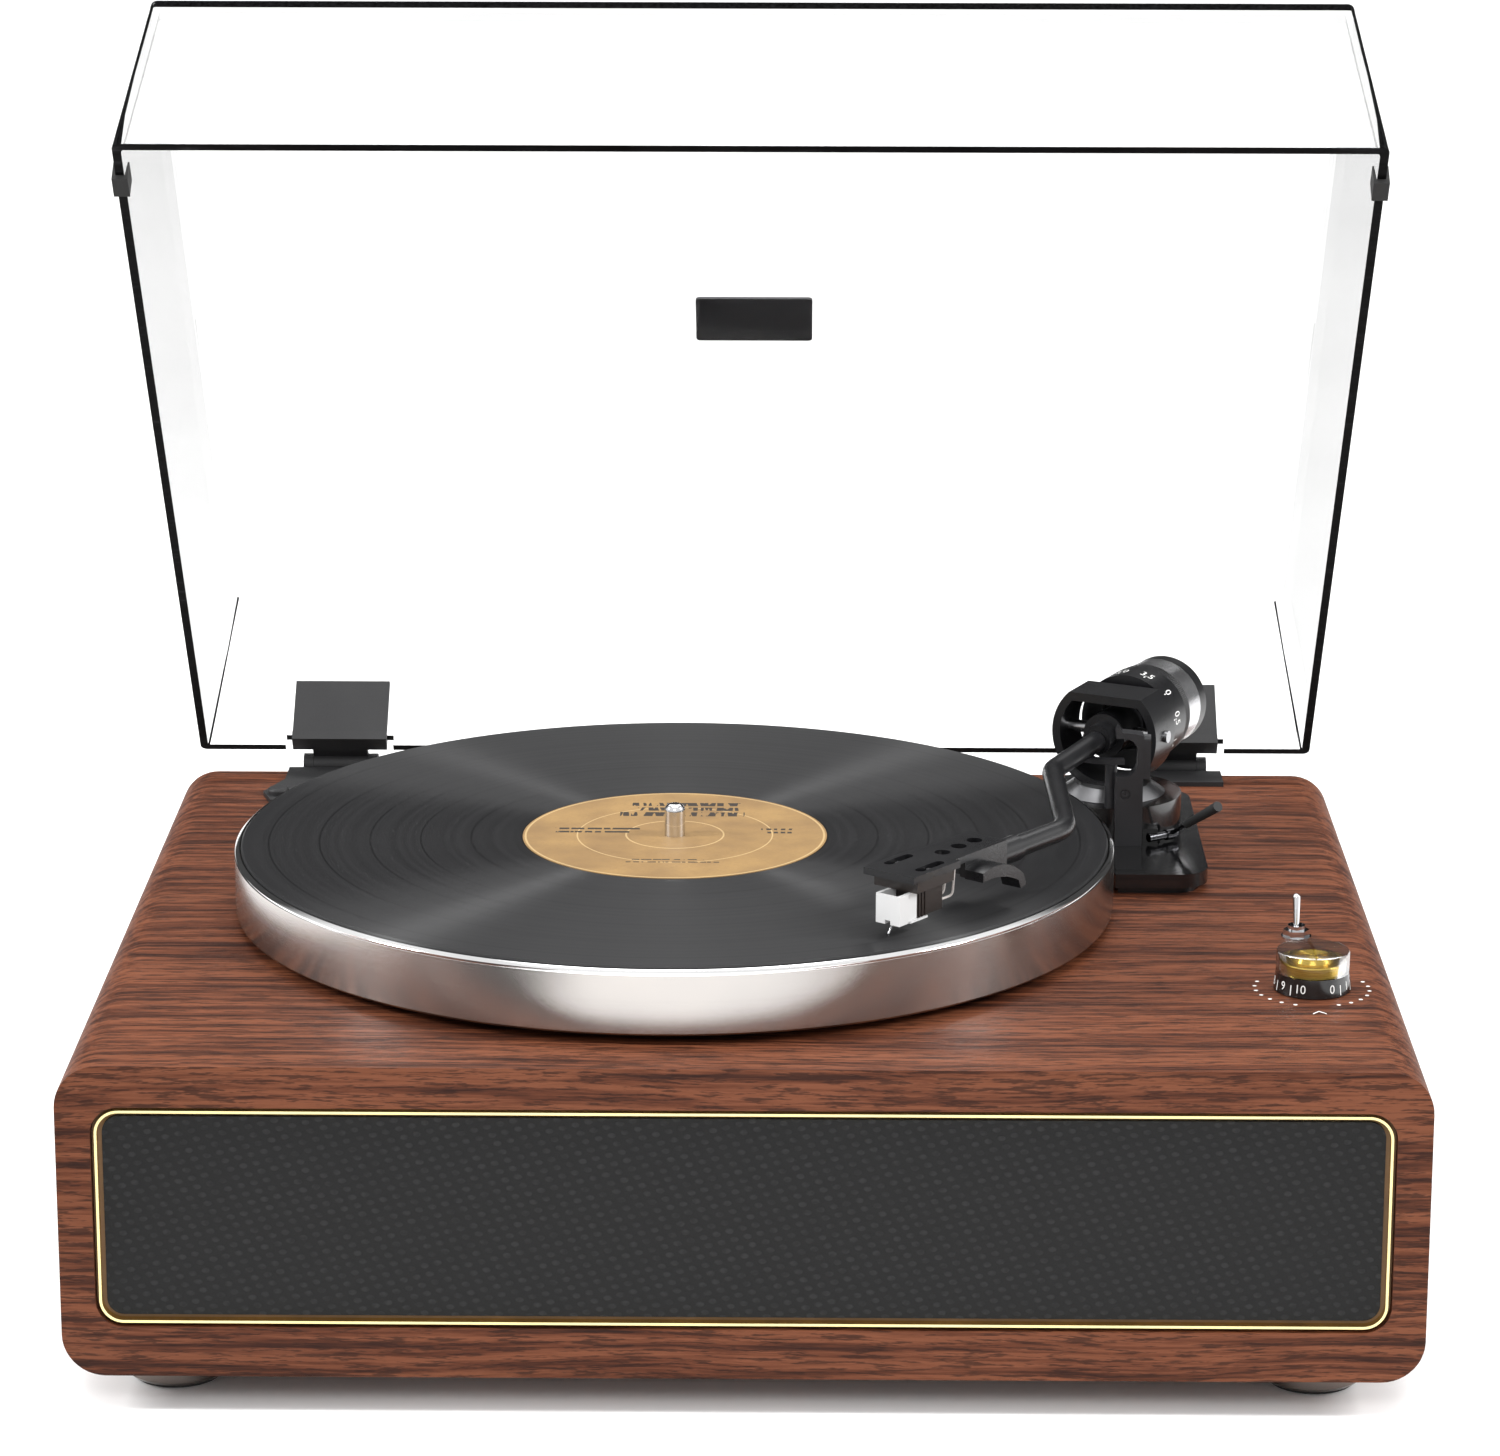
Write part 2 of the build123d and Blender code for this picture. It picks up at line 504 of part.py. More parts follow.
def arm_tube():
    """S-shaped tube: three straight runs joined by two arcs, falling slightly towards the head."""
    start = Vector(*on_arm(16.15, up=-16 * TUBE_DROP))
    corner = Vector(*on_arm(BEND_1, up=-BEND_1 * TUBE_DROP))
    bend, end = Vector(BEND_2X, BEND_2Y, HEAD_Z), Vector(*on_head(NECK_T1 - 8))
    middle = (corner + bend) / 2
    first = FilletPolyline(start, corner, middle, radius=TUBE_R1)
    second = FilletPolyline(middle, bend, end, radius=TUBE_R2)
    profile = Plane(origin=start, z_dir=(corner - start)) * Circle(TUBE_R)
    return sweep(profile, path=Wire(first.edges() + second.edges()))


def head_x():
    a = math.radians(HEAD_ANGLE)
    return (math.cos(a), math.sin(a), 0)


def head_side():
    a = math.radians(HEAD_ANGLE)
    return (-math.sin(a), math.cos(a), 0)


def lock_ring():
    a, b = on_head(LOCK_T0), on_head(LOCK_T1)
    return rod(a, b, LOCK_R) - rod(a, b, TUBE_R + RUN)


def finger_foot(extra=0.0):
    """Foot of the finger lift, let into the neck's right side."""
    plane = head_plane(0, HEAD_Z - 1.0 - extra) * Pos(PLATE_T0 + 19, PLATE_SIDE + PLATE_W0 / 2 - 2.2)
    return extrude(plane * Rectangle(6 + 2 * extra, 2.2), 4.0 + 2 * extra)


def headshell():
    z0 = PLATE_Z1 - PLATE_T
    plane = head_plane(0, z0) * Pos(0, PLATE_SIDE)
    n, w = PLATE_W0 / 2, PLATE_W1 / 2
    outline = Polyline((PLATE_T0, -n), (PLATE_STEP, -n), (PLATE_STEP + 1.5, -w), (PLATE_T1, -w), (PLATE_T1, w),
                       (PLATE_STEP, w), (PLATE_STEP, n), (PLATE_T0, n), close=True)
    body = extrude(plane * make_face(outline), PLATE_T)
    for t in (PLATE_T0 + 7, PLATE_T0 + 15.8, PLATE_T0 + 25):
        body -= extrude(plane * Pos(t, 0) * Circle(2.7), PLATE_T)
    for side in (-SLOT_SIDE, SLOT_SIDE):
        body -= extrude(plane * Pos(PLATE_T1 - SLOT_BACK, side) * SlotOverall(14, 3.4), PLATE_T)
    low = HEAD_Z - 5.0
    width = PLATE_W0 - 2.4
    under = head_plane(0, low) * Pos(0, PLATE_SIDE)
    neck = extrude(under * Pos((NECK_T0 + NECK_T1) / 2, 0) * Rectangle(NECK_T1 - NECK_T0, width), z0 - low)
    step = extrude(under * Pos(NECK_T1 - 6, 0) * Rectangle(14, width), 6.4)
    hollow = extrude(under * Pos(NECK_T1 - 4, 0) * Rectangle(11, width - 3.6), z0 - low)
    body += neck - step - hollow
    return body - rod(on_head(NECK_T0 - 1), on_head(NECK_T1), TUBE_R) - finger_foot()


def finger_lift():
    """Arched tab beside the neck with a small turned-down lip at its rear end."""
    origin = on_head(0, PLATE_SIDE + PLATE_W0 / 2 - 1.2, 0)
    plane = Plane(origin=origin, x_dir=head_x(), z_dir=-Vector(*head_side()))
    t, z = PLATE_T0, HEAD_Z + 2.4
    outer = ThreePointArc((t + 22, z - 0.6), (t + 11, z), (t - 1, z - 6.0))
    inner = ThreePointArc((t + 1.8, z - 7.6), (t + 11, z - 4.2), (t + 22, z - 3.8))
    lip = Polyline((t - 1, z - 6.0), (t - 2.6, z - 10.0), (t + 0.6, z - 10.6), (t + 1.8, z - 7.6))
    root = Line((t + 22, z - 3.8), (t + 22, z - 0.6))
    face = make_face(plane * (outer + lip + inner + root))
    return extrude(face, 7.5, dir=head_side()) + finger_foot()


def cartridge():
    z1 = PLATE_Z1 - PLATE_T
    low = BLOCK_Z0 + 0.8
    rear = STYLUS_T + 0.8 - BLOCK_L
    height = z1 - MOUNT_H - low
    top = head_plane(0, z1 - MOUNT_H)
    body = extrude(top * Pos(PLATE_T1 - 14, PLATE_SIDE) * Rectangle(20, 17.6), MOUNT_H)
    body += extrude(head_plane(0, low) * Pos(rear - 7.1, 0) * Rectangle(14, BLOCK_W), height)
    for k in range(3):
        rib = Pos(rear - 1.2 - 1.7 * k, 0) * Rectangle(0.8, BLOCK_W + 0.7)
        body += extrude(head_plane(0, low) * rib, height)
    for side in (-SLOT_SIDE, SLOT_SIDE):
        body -= extrude(top * Pos(PLATE_T1 - SLOT_BACK, PLATE_SIDE + side) * Circle(1.25), MOUNT_H)
    return body


def cartridge_screws():
    out = []
    for side in (-SLOT_SIDE, SLOT_SIDE):
        plane = head_plane(PLATE_T1 - SLOT_BACK, PLATE_Z1 - PLATE_T - MOUNT_H) * Pos(0, PLATE_SIDE + side)
        out.append(extrude(plane * Circle(1.2), MOUNT_H + PLATE_T - 1.0))
    return Compound(children=out)


def stylus_block():
    """Removable stylus assembly: hollow light block in front, with a tongue under the cartridge body."""
    mid = STYLUS_T + 0.8 - BLOCK_L / 2
    body = extrude(head_plane(0, BLOCK_Z0) * Pos(mid, 0) * Rectangle(BLOCK_L, BLOCK_W), BLOCK_H)
    pocket = extrude(head_plane(0, BLOCK_Z0 + 3) * Pos(mid - 0.6, 0) * Rectangle(BLOCK_L, BLOCK_W - 2.4), BLOCK_H)
    tongue = extrude(head_plane(0, BLOCK_Z0) * Pos(mid - 5.2, 0) * Rectangle(BLOCK_L, BLOCK_W + 1.4), 0.7)
    slot = extrude(head_plane(0, BLOCK_Z0) * Pos(STYLUS_T - 1.5, 0) * Rectangle(6, 2.2), 1.4)
    return body - pocket + tongue - slot - stylus()


def stylus():
    tip = Plane(origin=on_head(STYLUS_T, 0, RECORD_Z + RUN), z_dir=(0, 0, 1))
    needle = loft([tip * Circle(0.08), tip.offset(1.2) * Circle(0.35)])
    root = on_head(STYLUS_T - 3.4, 0, BLOCK_Z0 + 1.8)
    return needle + rod(root, on_head(STYLUS_T + 0.3, 0, RECORD_Z + 1.1), 0.4)


def lead(side, reach, drop):
    """One cartridge lead: back out of its pin, round a loop and up into the neck."""
    t0 = STYLUS_T + 0.8 - BLOCK_L - 14.1
    z0 = BLOCK_Z0 + 5.5 - drop
    z1 = HEAD_Z + 3.6
    back = t0 - 6.0 - reach
    pts = [on_head(t0, side, z0), on_head(back, side, z0), on_head(back - 1.0, side, z1)]
    pts.append(on_head(NECK_T1 - 9.4, side, z1))
    path = FilletPolyline(*[Vector(*p) for p in pts], radius=1.9)
    profile = Plane(origin=pts[0], z_dir=Vector(*pts[1]) - Vector(*pts[0])) * Circle(0.42)
    return sweep(profile, path=path)


# ---------------------------------------------------------------- counterweight
def sleeve():
    return ring_on_arm(DIAL_S0 + 1, END_S1 - 2, SLEEVE_R, STUB_R + RUN)


def weight():
    grip = ring_on_arm(DIAL_S1 + 2 * RUN, GRIP_S1, GRIP_R, SLEEVE_R + RUN)
    ring = ring_on_arm(GRIP_S1, WEIGHT_S1, WEIGHT_R, SLEEVE_R + RUN)
    hub = ring_on_arm(DIAL_S0 + 1, DIAL_S1 + 2 * RUN, SLEEVE_R + 2.0, SLEEVE_R + RUN)
    return grip + ring + hub


def end_ring():
    ring = ring_on_arm(WEIGHT_S1, END_S1, END_R, SLEEVE_R + RUN)
    return chamfer(ring.edges().filter_by(GeomType.CIRCLE).sort_by(Axis.Y)[-2:], 1.2)


def dial():
    return ring_on_arm(DIAL_S0, DIAL_S1, DIAL_R, SLEEVE_R + 2.0 + RUN)


# ---------------------------------------------------------------- controls
def knob():
    x, y, z = KNOB_X, KNOB_Y, TOP_Z + 0.3
    plane = Plane(origin=(x, y, z), z_dir=(0, 0, 1))
    skirt = loft([plane * Circle(KNOB_R), plane.offset(SKIRT_H) * Circle(KNOB_TOP_R)])
    skirt -= post(x, y, z, z + 5.0, 3.0)
    drum = post(x, y, z + SKIRT_H, z + SKIRT_H + DRUM_H, KNOB_TOP_R - 1.0)
    drum += post(x, y, z + SKIRT_H + DRUM_H, z + SKIRT_H + DRUM_H + 1.6, 6.5)
    cap = post(x, y, z + SKIRT_H, z + KNOB_H, KNOB_TOP_R)
    cap = fillet(cap.edges().group_by(Axis.Z)[-1], 0.8) - drum
    return skirt, drum, cap


def pot():
    z = TOP_Z - WALL
    body = block(KNOB_X - 8.5, KNOB_X + 8.5, KNOB_Y - 8.5, KNOB_Y + 8.5, z - 9, z)
    return body + post(KNOB_X, KNOB_Y, z, TOP_Z, 3.5) - post(KNOB_X, KNOB_Y, z - 4, TOP_Z, 2.55)


def pot_shaft():
    return post(KNOB_X, KNOB_Y, TOP_Z - WALL - 3.9, TOP_Z + 5.2, 2.5)


def switch_body():
    x, y = SWITCH_X, SWITCH_Y
    body = block(x - 6.5, x + 6.5, y - 4, y + 4, TOP_Z - WALL - 10, TOP_Z - WALL)
    body += post(x, y, TOP_Z - WALL, TOP_Z + 4.4, 3.0)
    cavity = Plane(origin=(x, y, TOP_Z - 2), z_dir=(0, 0, 1))
    return body - loft([cavity * Circle(1.9), cavity.offset(6.4) * Circle(2.6)])


def switch_nut():
    x, y = SWITCH_X, SWITCH_Y
    plane = Plane(origin=(x, y, TOP_Z), z_dir=(0, 0, 1))
    washer = extrude(plane * (Circle(5.2) - Circle(3.05)), 0.6)
    nut = extrude(plane.offset(0.6) * (RegularPolygon(4.6, 6) - Circle(3.05)), 2.2)
    return washer + nut


def switch_lever():
    z = TOP_Z + 0.6
    lever = loft([Plane.XY.offset(z - 1) * Circle(0.9), Plane.XY.offset(z + 13) * Circle(1.35)])
    lever += Pos(0, 0, z + 13) * Sphere(1.35) + Pos(0, 0, z) * Sphere(1.6)
    lever = Pos(SWITCH_X, SWITCH_Y, 0) * lever
    return lever.rotate(Axis((SWITCH_X, SWITCH_Y, z), (1, 0, 0)), -LEVER_TILT)


# ---------------------------------------------------------------- lid and hinges
def opened(shape):
    return shape.rotate(Axis((0, HINGE_Y, HINGE_Z), (1, 0, 0)), -LID_OPEN)


def lid_form(inset, z0, z1):
    """Tapered box of the lid, inset from its outside by the wall."""
    forms = []
    for z in (z0, z1):
        f = (z - LID_Z0) / LID_H
        y0, y1 = LID_Y0 + LID_IN_Y0 * f + inset, LID_Y1 - LID_IN_Y1 * f - inset
        w = LID_W - 2 * (LID_IN_X * f + inset)
        radius = max(LID_R - inset, 1.0)
        forms.append(Plane.XY.offset(z) * Pos(0, (y0 + y1) / 2) * RectangleRounded(w, y1 - y0, radius))
    return loft(forms)


def lid():
    body = lid_form(0, LID_Z0, LID_Z0 + LID_H)
    body = fillet(body.edges().group_by(Axis.Z)[-1], 1.5)
    body -= lid_form(LID_T, LID_Z0, LID_Z0 + LID_H - LID_T)
    for sx in (-1, 1):
        x = sx * HINGE_X
        body -= block(x - NOTCH_W / 2, x + NOTCH_W / 2, LID_Y1 - 12, LID_Y1 + 1, LID_Z0, LID_Z0 + NOTCH_H)
    return opened(body)


def bumpers():
    out = []
    for sx in (-1, 1):
        x = sx * (LID_W / 2 - LID_T / 2)
        y0, y1 = BUMPER_Y - BUMPER_L / 2, BUMPER_Y + BUMPER_L / 2
        clip = block(x - BUMPER_HALF, x + BUMPER_HALF, y0, y1, LID_Z0 - 1.9, LID_Z0 + BUMPER_H)
        wall = lid_form(-SEAT, LID_Z0, LID_Z0 + 9) - lid_form(LID_T + SEAT, LID_Z0, LID_Z0 + 9)
        out.append(clip - wall)
    return opened(Compound(children=[solid for c in out for solid in c.solids()]))


def badge():
    mid = (LID_Y0 + LID_IN_Y0 + LID_Y1 - LID_IN_Y1) / 2
    plate = RectangleRounded(42.5, 22.5, 1.5)
    return opened(extrude(Plane.XY.offset(LID_Z0 + LID_H) * Pos(0, mid) * plate, 1.0))


def hinge_upper(x):
    """Leaf inside the lid's back wall, its neck through the notch and the middle knuckle."""
    tilt = math.degrees(math.atan2(LID_IN_Y1, LID_H))
    y1 = LID_Y1 - LID_T
    leaf = block(x - LEAF_W / 2, x + LEAF_W / 2, y1 - LEAF_T - SEAT, y1 - SEAT, LID_Z0 + 0.5, LID_Z0 + LEAF_H)
    leaf = leaf.rotate(Axis((0, y1, LID_Z0), (1, 0, 0)), tilt)
    bar = block(x - LEAF_W / 2, x + LEAF_W / 2, y1 - 3.2, LID_Y1 + 0.5, LID_Z0 + 0.4, LID_Z0 + NOTCH_H - SEAT)
    neck = block(x - KNUCKLE_IN, x + KNUCKLE_IN, LID_Y1, HINGE_Y, LID_Z0 + 0.4, HINGE_Z + KNUCKLE_R - 0.2)
    barrel = rod((x - KNUCKLE_IN, HINGE_Y, HINGE_Z), (x + KNUCKLE_IN, HINGE_Y, HINGE_Z), KNUCKLE_R)
    bore = rod((x - 20, HINGE_Y, HINGE_Z), (x + 20, HINGE_Y, HINGE_Z), HINGE_PIN_R + RUN)
    return leaf + bar + neck + barrel - bore


def hinge_holes(x):
    """The two flush screws in a hinge's foot."""
    z = TOP_Z + FOOT_T
    return [post(x + dx, CAB_D - 9, z - 1.2, z, 2.6) for dx in (-12, 12)]


def hinge_lower(x, flared):
    """Foot on the cabinet's top, two outer knuckles on short webs behind the back edge."""
    out = block(x - 19.5, x + 19.5, CAB_D - 16, CAB_D, TOP_Z, TOP_Z + FOOT_T)
    if flared:
        outline = Polyline((-17, -10), (-26, -34), (-22, -46), (-12, -40), (-2, -16), close=True)
        out += extrude(Plane.XY.offset(TOP_Z) * Pos(x, CAB_D) * make_face(outline), FOOT_T)
    for side in (-1, 1):
        a, b = x + side * (KNUCKLE_IN + 0.1), x + side * KNUCKLE_OUT
        out += block(a, b, CAB_D - 4, HINGE_Y, TOP_Z, TOP_Z + FOOT_T)
        out += rod((a, HINGE_Y, HINGE_Z), (b, HINGE_Y, HINGE_Z), KNUCKLE_R)
    for hole in hinge_holes(x):
        out -= hole
    return out - rod((x - 20, HINGE_Y, HINGE_Z), (x + 20, HINGE_Y, HINGE_Z), HINGE_PIN_R)


def hinge_screws():
    """Flush screws of both hinges and the domed one on the left hinge's flare."""
    z = TOP_Z + FOOT_T
    dome = post(-HINGE_X - 20, CAB_D - 37, z, z + 2.4, 4.0)
    flush = hinge_holes(-HINGE_X) + hinge_holes(HINGE_X)
    return Compound(children=[fillet(dome.edges().group_by(Axis.Z)[-1], 1.2)] + flush)


def hinge_pin(x):
    return rod((x - KNUCKLE_OUT, HINGE_Y, HINGE_Z), (x + KNUCKLE_OUT, HINGE_Y, HINGE_Z), HINGE_PIN_R)


def middle_y():
    """Half the overall depth, from the front face to the back of the open lid."""
    return lid().bounding_box().max.Y / 2


MIDDLE_Y = middle_y()


def save(node, shape):
    """Write one node, with the origin under the middle of the whole player."""
    export_step(Pos(0, -MIDDLE_Y, 0) * shape, "parts/" + node + ".step")


def main():
    os.makedirs("parts", exist_ok=True)
    save("cabinet_shell", cabinet_shell())
    save("speaker_baffle", baffle())
    save("grille_ring", grille_ring())
    save("grille_cloth", grille_cloth())
    for node, shape in zip(("speaker_drivers", "speaker_cones"), speakers()):
        save(node, shape)
    save("rear_panel", rear_panel())
    save("rear_screws", rear_screws())
    save("rca_jacks", rca_jacks())
    save("rear_sockets", Compound(children=[aux_jack(), dc_inlet()]))
    for node, shape in zip(("foot_shells", "foot_pads"), feet()):
        save(node, shape)
    save("amp_board", amp_board())
    save("bearing_housing", bearing_housing())
    save("motor_body", motor_body())
    save("drive_belt", belt())
    save("platter", platter())
    save("mat", mat())
    save("record", record())
    save("record_label", label())
    save("spindle", spindle())
    save("motor_pulley", motor_pulley())
    save("arm_base", arm_base())
    save("arm_cone", arm_cone())
    save("rest_post", rest_post())
    save("rest_prong", rest_prong())
    save("lift_rail", lift_rail())
    save("cue_lever", cue_lever())
    save("cue_grip", cue_grip())
    save("yoke", yoke())
    save("pivot_screws", pivot_screws())
    save("arm_hub", arm_hub())
    save("arm_tube", arm_tube())
    save("lock_ring", lock_ring())
    save("headshell", headshell())
    save("finger_lift", finger_lift())
    save("cartridge_body", cartridge())
    save("cartridge_screws", cartridge_screws())
    save("stylus_block", stylus_block())
    save("stylus", stylus())
    save("cartridge_leads", Compound(children=[lead(*v) for v in LEADS]))
    save("weight_sleeve", sleeve())
    save("counterweight", weight())
    save("weight_end_ring", end_ring())
    save("force_dial", dial())
    for node, shape in zip(("knob_skirt", "knob_drum", "knob_cap"), knob()):
        save(node, shape)
    save("pot_body", pot())
    save("pot_shaft", pot_shaft())
    save("switch_body", switch_body())
    save("switch_nut", switch_nut())
    save("switch_lever", switch_lever())
    save("lid", lid())
    save("lid_bumpers", bumpers())
    save("lid_badge", badge())
    save("hinge_uppers", Compound(children=[opened(hinge_upper(x)) for x in (-HINGE_X, HINGE_X)]))
    save("hinge_lowers", Compound(children=[hinge_lower(-HINGE_X, True), hinge_lower(HINGE_X, False)]))
    save("hinge_screws", hinge_screws())
    save("hinge_pins", Compound(children=[hinge_pin(x) for x in (-HINGE_X, HINGE_X)]))


main()
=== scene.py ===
import json
import math
import bpy
import numpy as np
from mathutils import Matrix, Vector


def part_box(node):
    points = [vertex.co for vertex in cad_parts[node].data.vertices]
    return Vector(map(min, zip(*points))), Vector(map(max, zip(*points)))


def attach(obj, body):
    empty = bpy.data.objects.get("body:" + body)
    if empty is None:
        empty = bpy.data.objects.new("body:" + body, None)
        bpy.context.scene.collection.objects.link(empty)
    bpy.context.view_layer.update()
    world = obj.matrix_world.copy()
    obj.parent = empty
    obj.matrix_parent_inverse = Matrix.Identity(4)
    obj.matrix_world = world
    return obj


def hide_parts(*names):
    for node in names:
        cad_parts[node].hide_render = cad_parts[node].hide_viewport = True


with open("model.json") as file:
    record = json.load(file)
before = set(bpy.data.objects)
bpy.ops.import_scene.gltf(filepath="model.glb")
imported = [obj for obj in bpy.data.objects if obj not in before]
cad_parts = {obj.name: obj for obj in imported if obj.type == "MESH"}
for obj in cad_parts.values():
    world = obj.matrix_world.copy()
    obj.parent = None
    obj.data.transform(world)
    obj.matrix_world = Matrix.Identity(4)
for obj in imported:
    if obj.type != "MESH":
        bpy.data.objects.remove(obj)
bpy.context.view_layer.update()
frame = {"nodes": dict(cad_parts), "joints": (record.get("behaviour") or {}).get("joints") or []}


# ---- Cabinet ----
# A fibreboard sleeve with rounded long edges, wrapped in open-pored walnut veneer.
# The grain runs from side to side on the top and the front; the satin lacquer leaves the pores sunk.
def srgb(text):
    """Linear RGBA of a hex colour given in sRGB."""
    c = np.array([int(text[i:i + 2], 16) for i in (0, 2, 4)]) / 255
    c = np.where(c <= 0.04045, c / 12.92, ((c + 0.055) / 1.055) ** 2.4)
    return (*c, 1.0)


def add(tree, kind, inputs, **settings):
    """Adds one shader node; inputs maps a socket to a value or to another node's output."""
    n = tree.nodes.new("ShaderNode" + kind)
    for key, value in settings.items():
        setattr(n, key, value)
    for key, value in inputs.items():
        if isinstance(value, bpy.types.NodeSocket):
            tree.links.new(value, n.inputs[key])
        else:
            n.inputs[key].default_value = value
    return n


def ramp(tree, value, stops):
    """Colour ramp through (position, hex colour) stops."""
    n = add(tree, "ValToRGB", {"Fac": value})
    while len(n.color_ramp.elements) < len(stops):
        n.color_ramp.elements.new(0.5)
    for element, (position, colour) in zip(n.color_ramp.elements, stops):
        element.position = position
        element.color = srgb(colour)
    return n.outputs["Color"]


def blank(name):
    """New material with its tree, its Principled node and object coordinates."""
    m = bpy.data.materials.new(name)
    m.use_nodes = True
    tree = m.node_tree
    coords = add(tree, "TexCoord", {}).outputs["Object"]
    return m, tree, tree.nodes["Principled BSDF"], coords


def scaled(tree, coords, scale, turn=(0, 0, 0)):
    """Coordinates scaled along each axis, after a turn."""
    return add(tree, "Mapping", {"Vector": coords, "Scale": scale, "Rotation": turn}).outputs["Vector"]


def noise(tree, coords, scale, detail=4.0, rough=0.5, distort=0.0):
    """Noise value of the given cycles per metre."""
    return add(tree, "TexNoise", {"Vector": coords, "Scale": scale, "Detail": detail, "Roughness": rough,
                                  "Distortion": distort}).outputs["Fac"]


def calc(tree, operation, a, b=0.0):
    return add(tree, "Math", {0: a, 1: b}, operation=operation).outputs[0]


def between(tree, value, low, high, to_low=0.0, to_high=1.0):
    """Value mapped from low..high to to_low..to_high and clamped."""
    return add(tree, "MapRange", {"Value": value, "From Min": low, "From Max": high, "To Min": to_low,
                                  "To Max": to_high}).outputs["Result"]


def mixed(tree, factor, a, b, blend="MIX"):
    n = add(tree, "Mix", {"Factor": factor}, data_type="RGBA", blend_type=blend)
    for socket, value in ((n.inputs[6], a), (n.inputs[7], b)):
        if isinstance(value, bpy.types.NodeSocket):
            tree.links.new(value, socket)
        else:
            socket.default_value = value
    return n.outputs[2]


def bumped(tree, shader, height, strength, distance):
    """Sends a height into the shader's normal."""
    n = add(tree, "Bump", {"Height": height, "Strength": strength, "Distance": distance})
    tree.links.new(n.outputs["Normal"], shader.inputs["Normal"])


def dress(names, material, angle=32):
    """Gives CAD nodes a material and smooth shading below an edge angle."""
    for name in names:
        mesh = frame["nodes"][name].data
        mesh.materials.clear()
        mesh.materials.append(material)
        mesh.shade_smooth()
        mesh.set_sharp_from_angle(angle=math.radians(angle))


def wrapped_coords(tree, coords, low, high, corner):
    """Coordinates of a sheet bent down over both ends: there, x runs on as the length down the side."""
    p = add(tree, "SeparateXYZ", {"Vector": coords})
    n = add(tree, "SeparateXYZ", {"Vector": add(tree, "TexCoord", {}).outputs["Normal"]})
    on_end = calc(tree, "GREATER_THAN", calc(tree, "ABSOLUTE", n.outputs["X"]), 0.7071)
    reach = calc(tree, "SUBTRACT", high[0] + high[2] - 0.586 * corner, p.outputs["Z"])
    along = calc(tree, "MULTIPLY", calc(tree, "SIGN", p.outputs["X"]), reach)
    depth = calc(tree, "ADD", calc(tree, "ABSOLUTE", p.outputs["X"]), high[2] - high[0])
    bent = add(tree, "CombineXYZ", {"X": along, "Y": p.outputs["Y"], "Z": depth}).outputs[0]
    change = add(tree, "VectorMath", {0: bent, 1: coords}, operation="SUBTRACT").outputs[0]
    change = add(tree, "VectorMath", {0: change, "Scale": on_end}, operation="SCALE").outputs[0]
    return add(tree, "VectorMath", {0: coords, 1: change}, operation="ADD").outputs[0]


def veneer():
    m, t, s, c = blank("walnut_veneer")
    c = wrapped_coords(t, c, *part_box("cabinet_shell"), 0.014)
    wander = noise(t, scaled(t, c, (3.0, 14.0, 14.0)), 1.0, 3.0, 0.5)
    shift = add(t, "VectorMath", {0: c, 1: add(t, "CombineXYZ", {"Y": calc(t, "MULTIPLY", wander, 0.02),
                "Z": calc(t, "MULTIPLY", wander, 0.02)}).outputs[0]}, operation="ADD").outputs[0]
    broad = noise(t, scaled(t, shift, (2.0, 30.0, 30.0)), 1.0, 5.0, 0.6)
    streak = noise(t, scaled(t, shift, (8.0, 230.0, 230.0)), 1.0, 6.0, 0.7)
    pore = noise(t, scaled(t, shift, (75.0, 800.0, 800.0)), 1.0, 3.0, 0.7)
    base = ramp(t, broad, [(0.3, "401F13"), (0.45, "562D1B"), (0.58, "643926"), (0.75, "4B2718")])
    fine = ramp(t, streak, [(0.34, "261009"), (0.46, "502A19"), (0.57, "7D4B33"), (0.7, "6A3C25")])
    colour = mixed(t, 0.6, base, fine)
    dark = between(t, pore, 0.51, 0.58)
    dark_line = between(t, streak, 0.46, 0.38)
    colour = mixed(t, calc(t, "MULTIPLY", dark, 0.7), colour, srgb("24110A"))
    colour = mixed(t, calc(t, "MULTIPLY", dark_line, 0.6), colour, srgb("22100A"))
    t.links.new(colour, s.inputs["Base Color"])
    t.links.new(between(t, streak, 0.3, 0.7, 0.6, 0.46), s.inputs["Roughness"])
    s.inputs["Specular IOR Level"].default_value = 0.15
    height = calc(t, "SUBTRACT", calc(t, "MULTIPLY", streak, 0.5), dark)
    bumped(t, s, height, 0.35, 0.0002)
    return m


dress(["cabinet_shell"], veneer())


# ---- Plain finishes ----
# Moulded plastics, painted and turned metals: each has a fine grain, uneven gloss and slight tone changes.
def finish(name, colour, rough, metal=0.0, grain=2500.0, bump=0.06, vary=0.12, coat=0.0, stretch=(1, 1, 1)):
    """Plain finish: noise of the given cycles per metre varies its tone, gloss and height."""
    m, t, s, c = blank(name)
    fine = noise(t, scaled(t, c, stretch), grain, 3.0, 0.6)
    patch = noise(t, c, 35.0, 4.0, 0.6)
    light = add(t, "HueSaturation", {"Value": between(t, patch, 0.3, 0.7, 1 - vary, 1 + vary), "Color": srgb(colour)})
    t.links.new(light.outputs[0], s.inputs["Base Color"])
    t.links.new(between(t, calc(t, "ADD", fine, patch), 0.6, 1.4, rough * 0.8, rough * 1.2), s.inputs["Roughness"])
    s.inputs["Metallic"].default_value = metal
    s.inputs["Coat Weight"].default_value = coat
    s.inputs["Coat Roughness"].default_value = 0.08
    bumped(t, s, fine, bump, 0.0002)
    return m


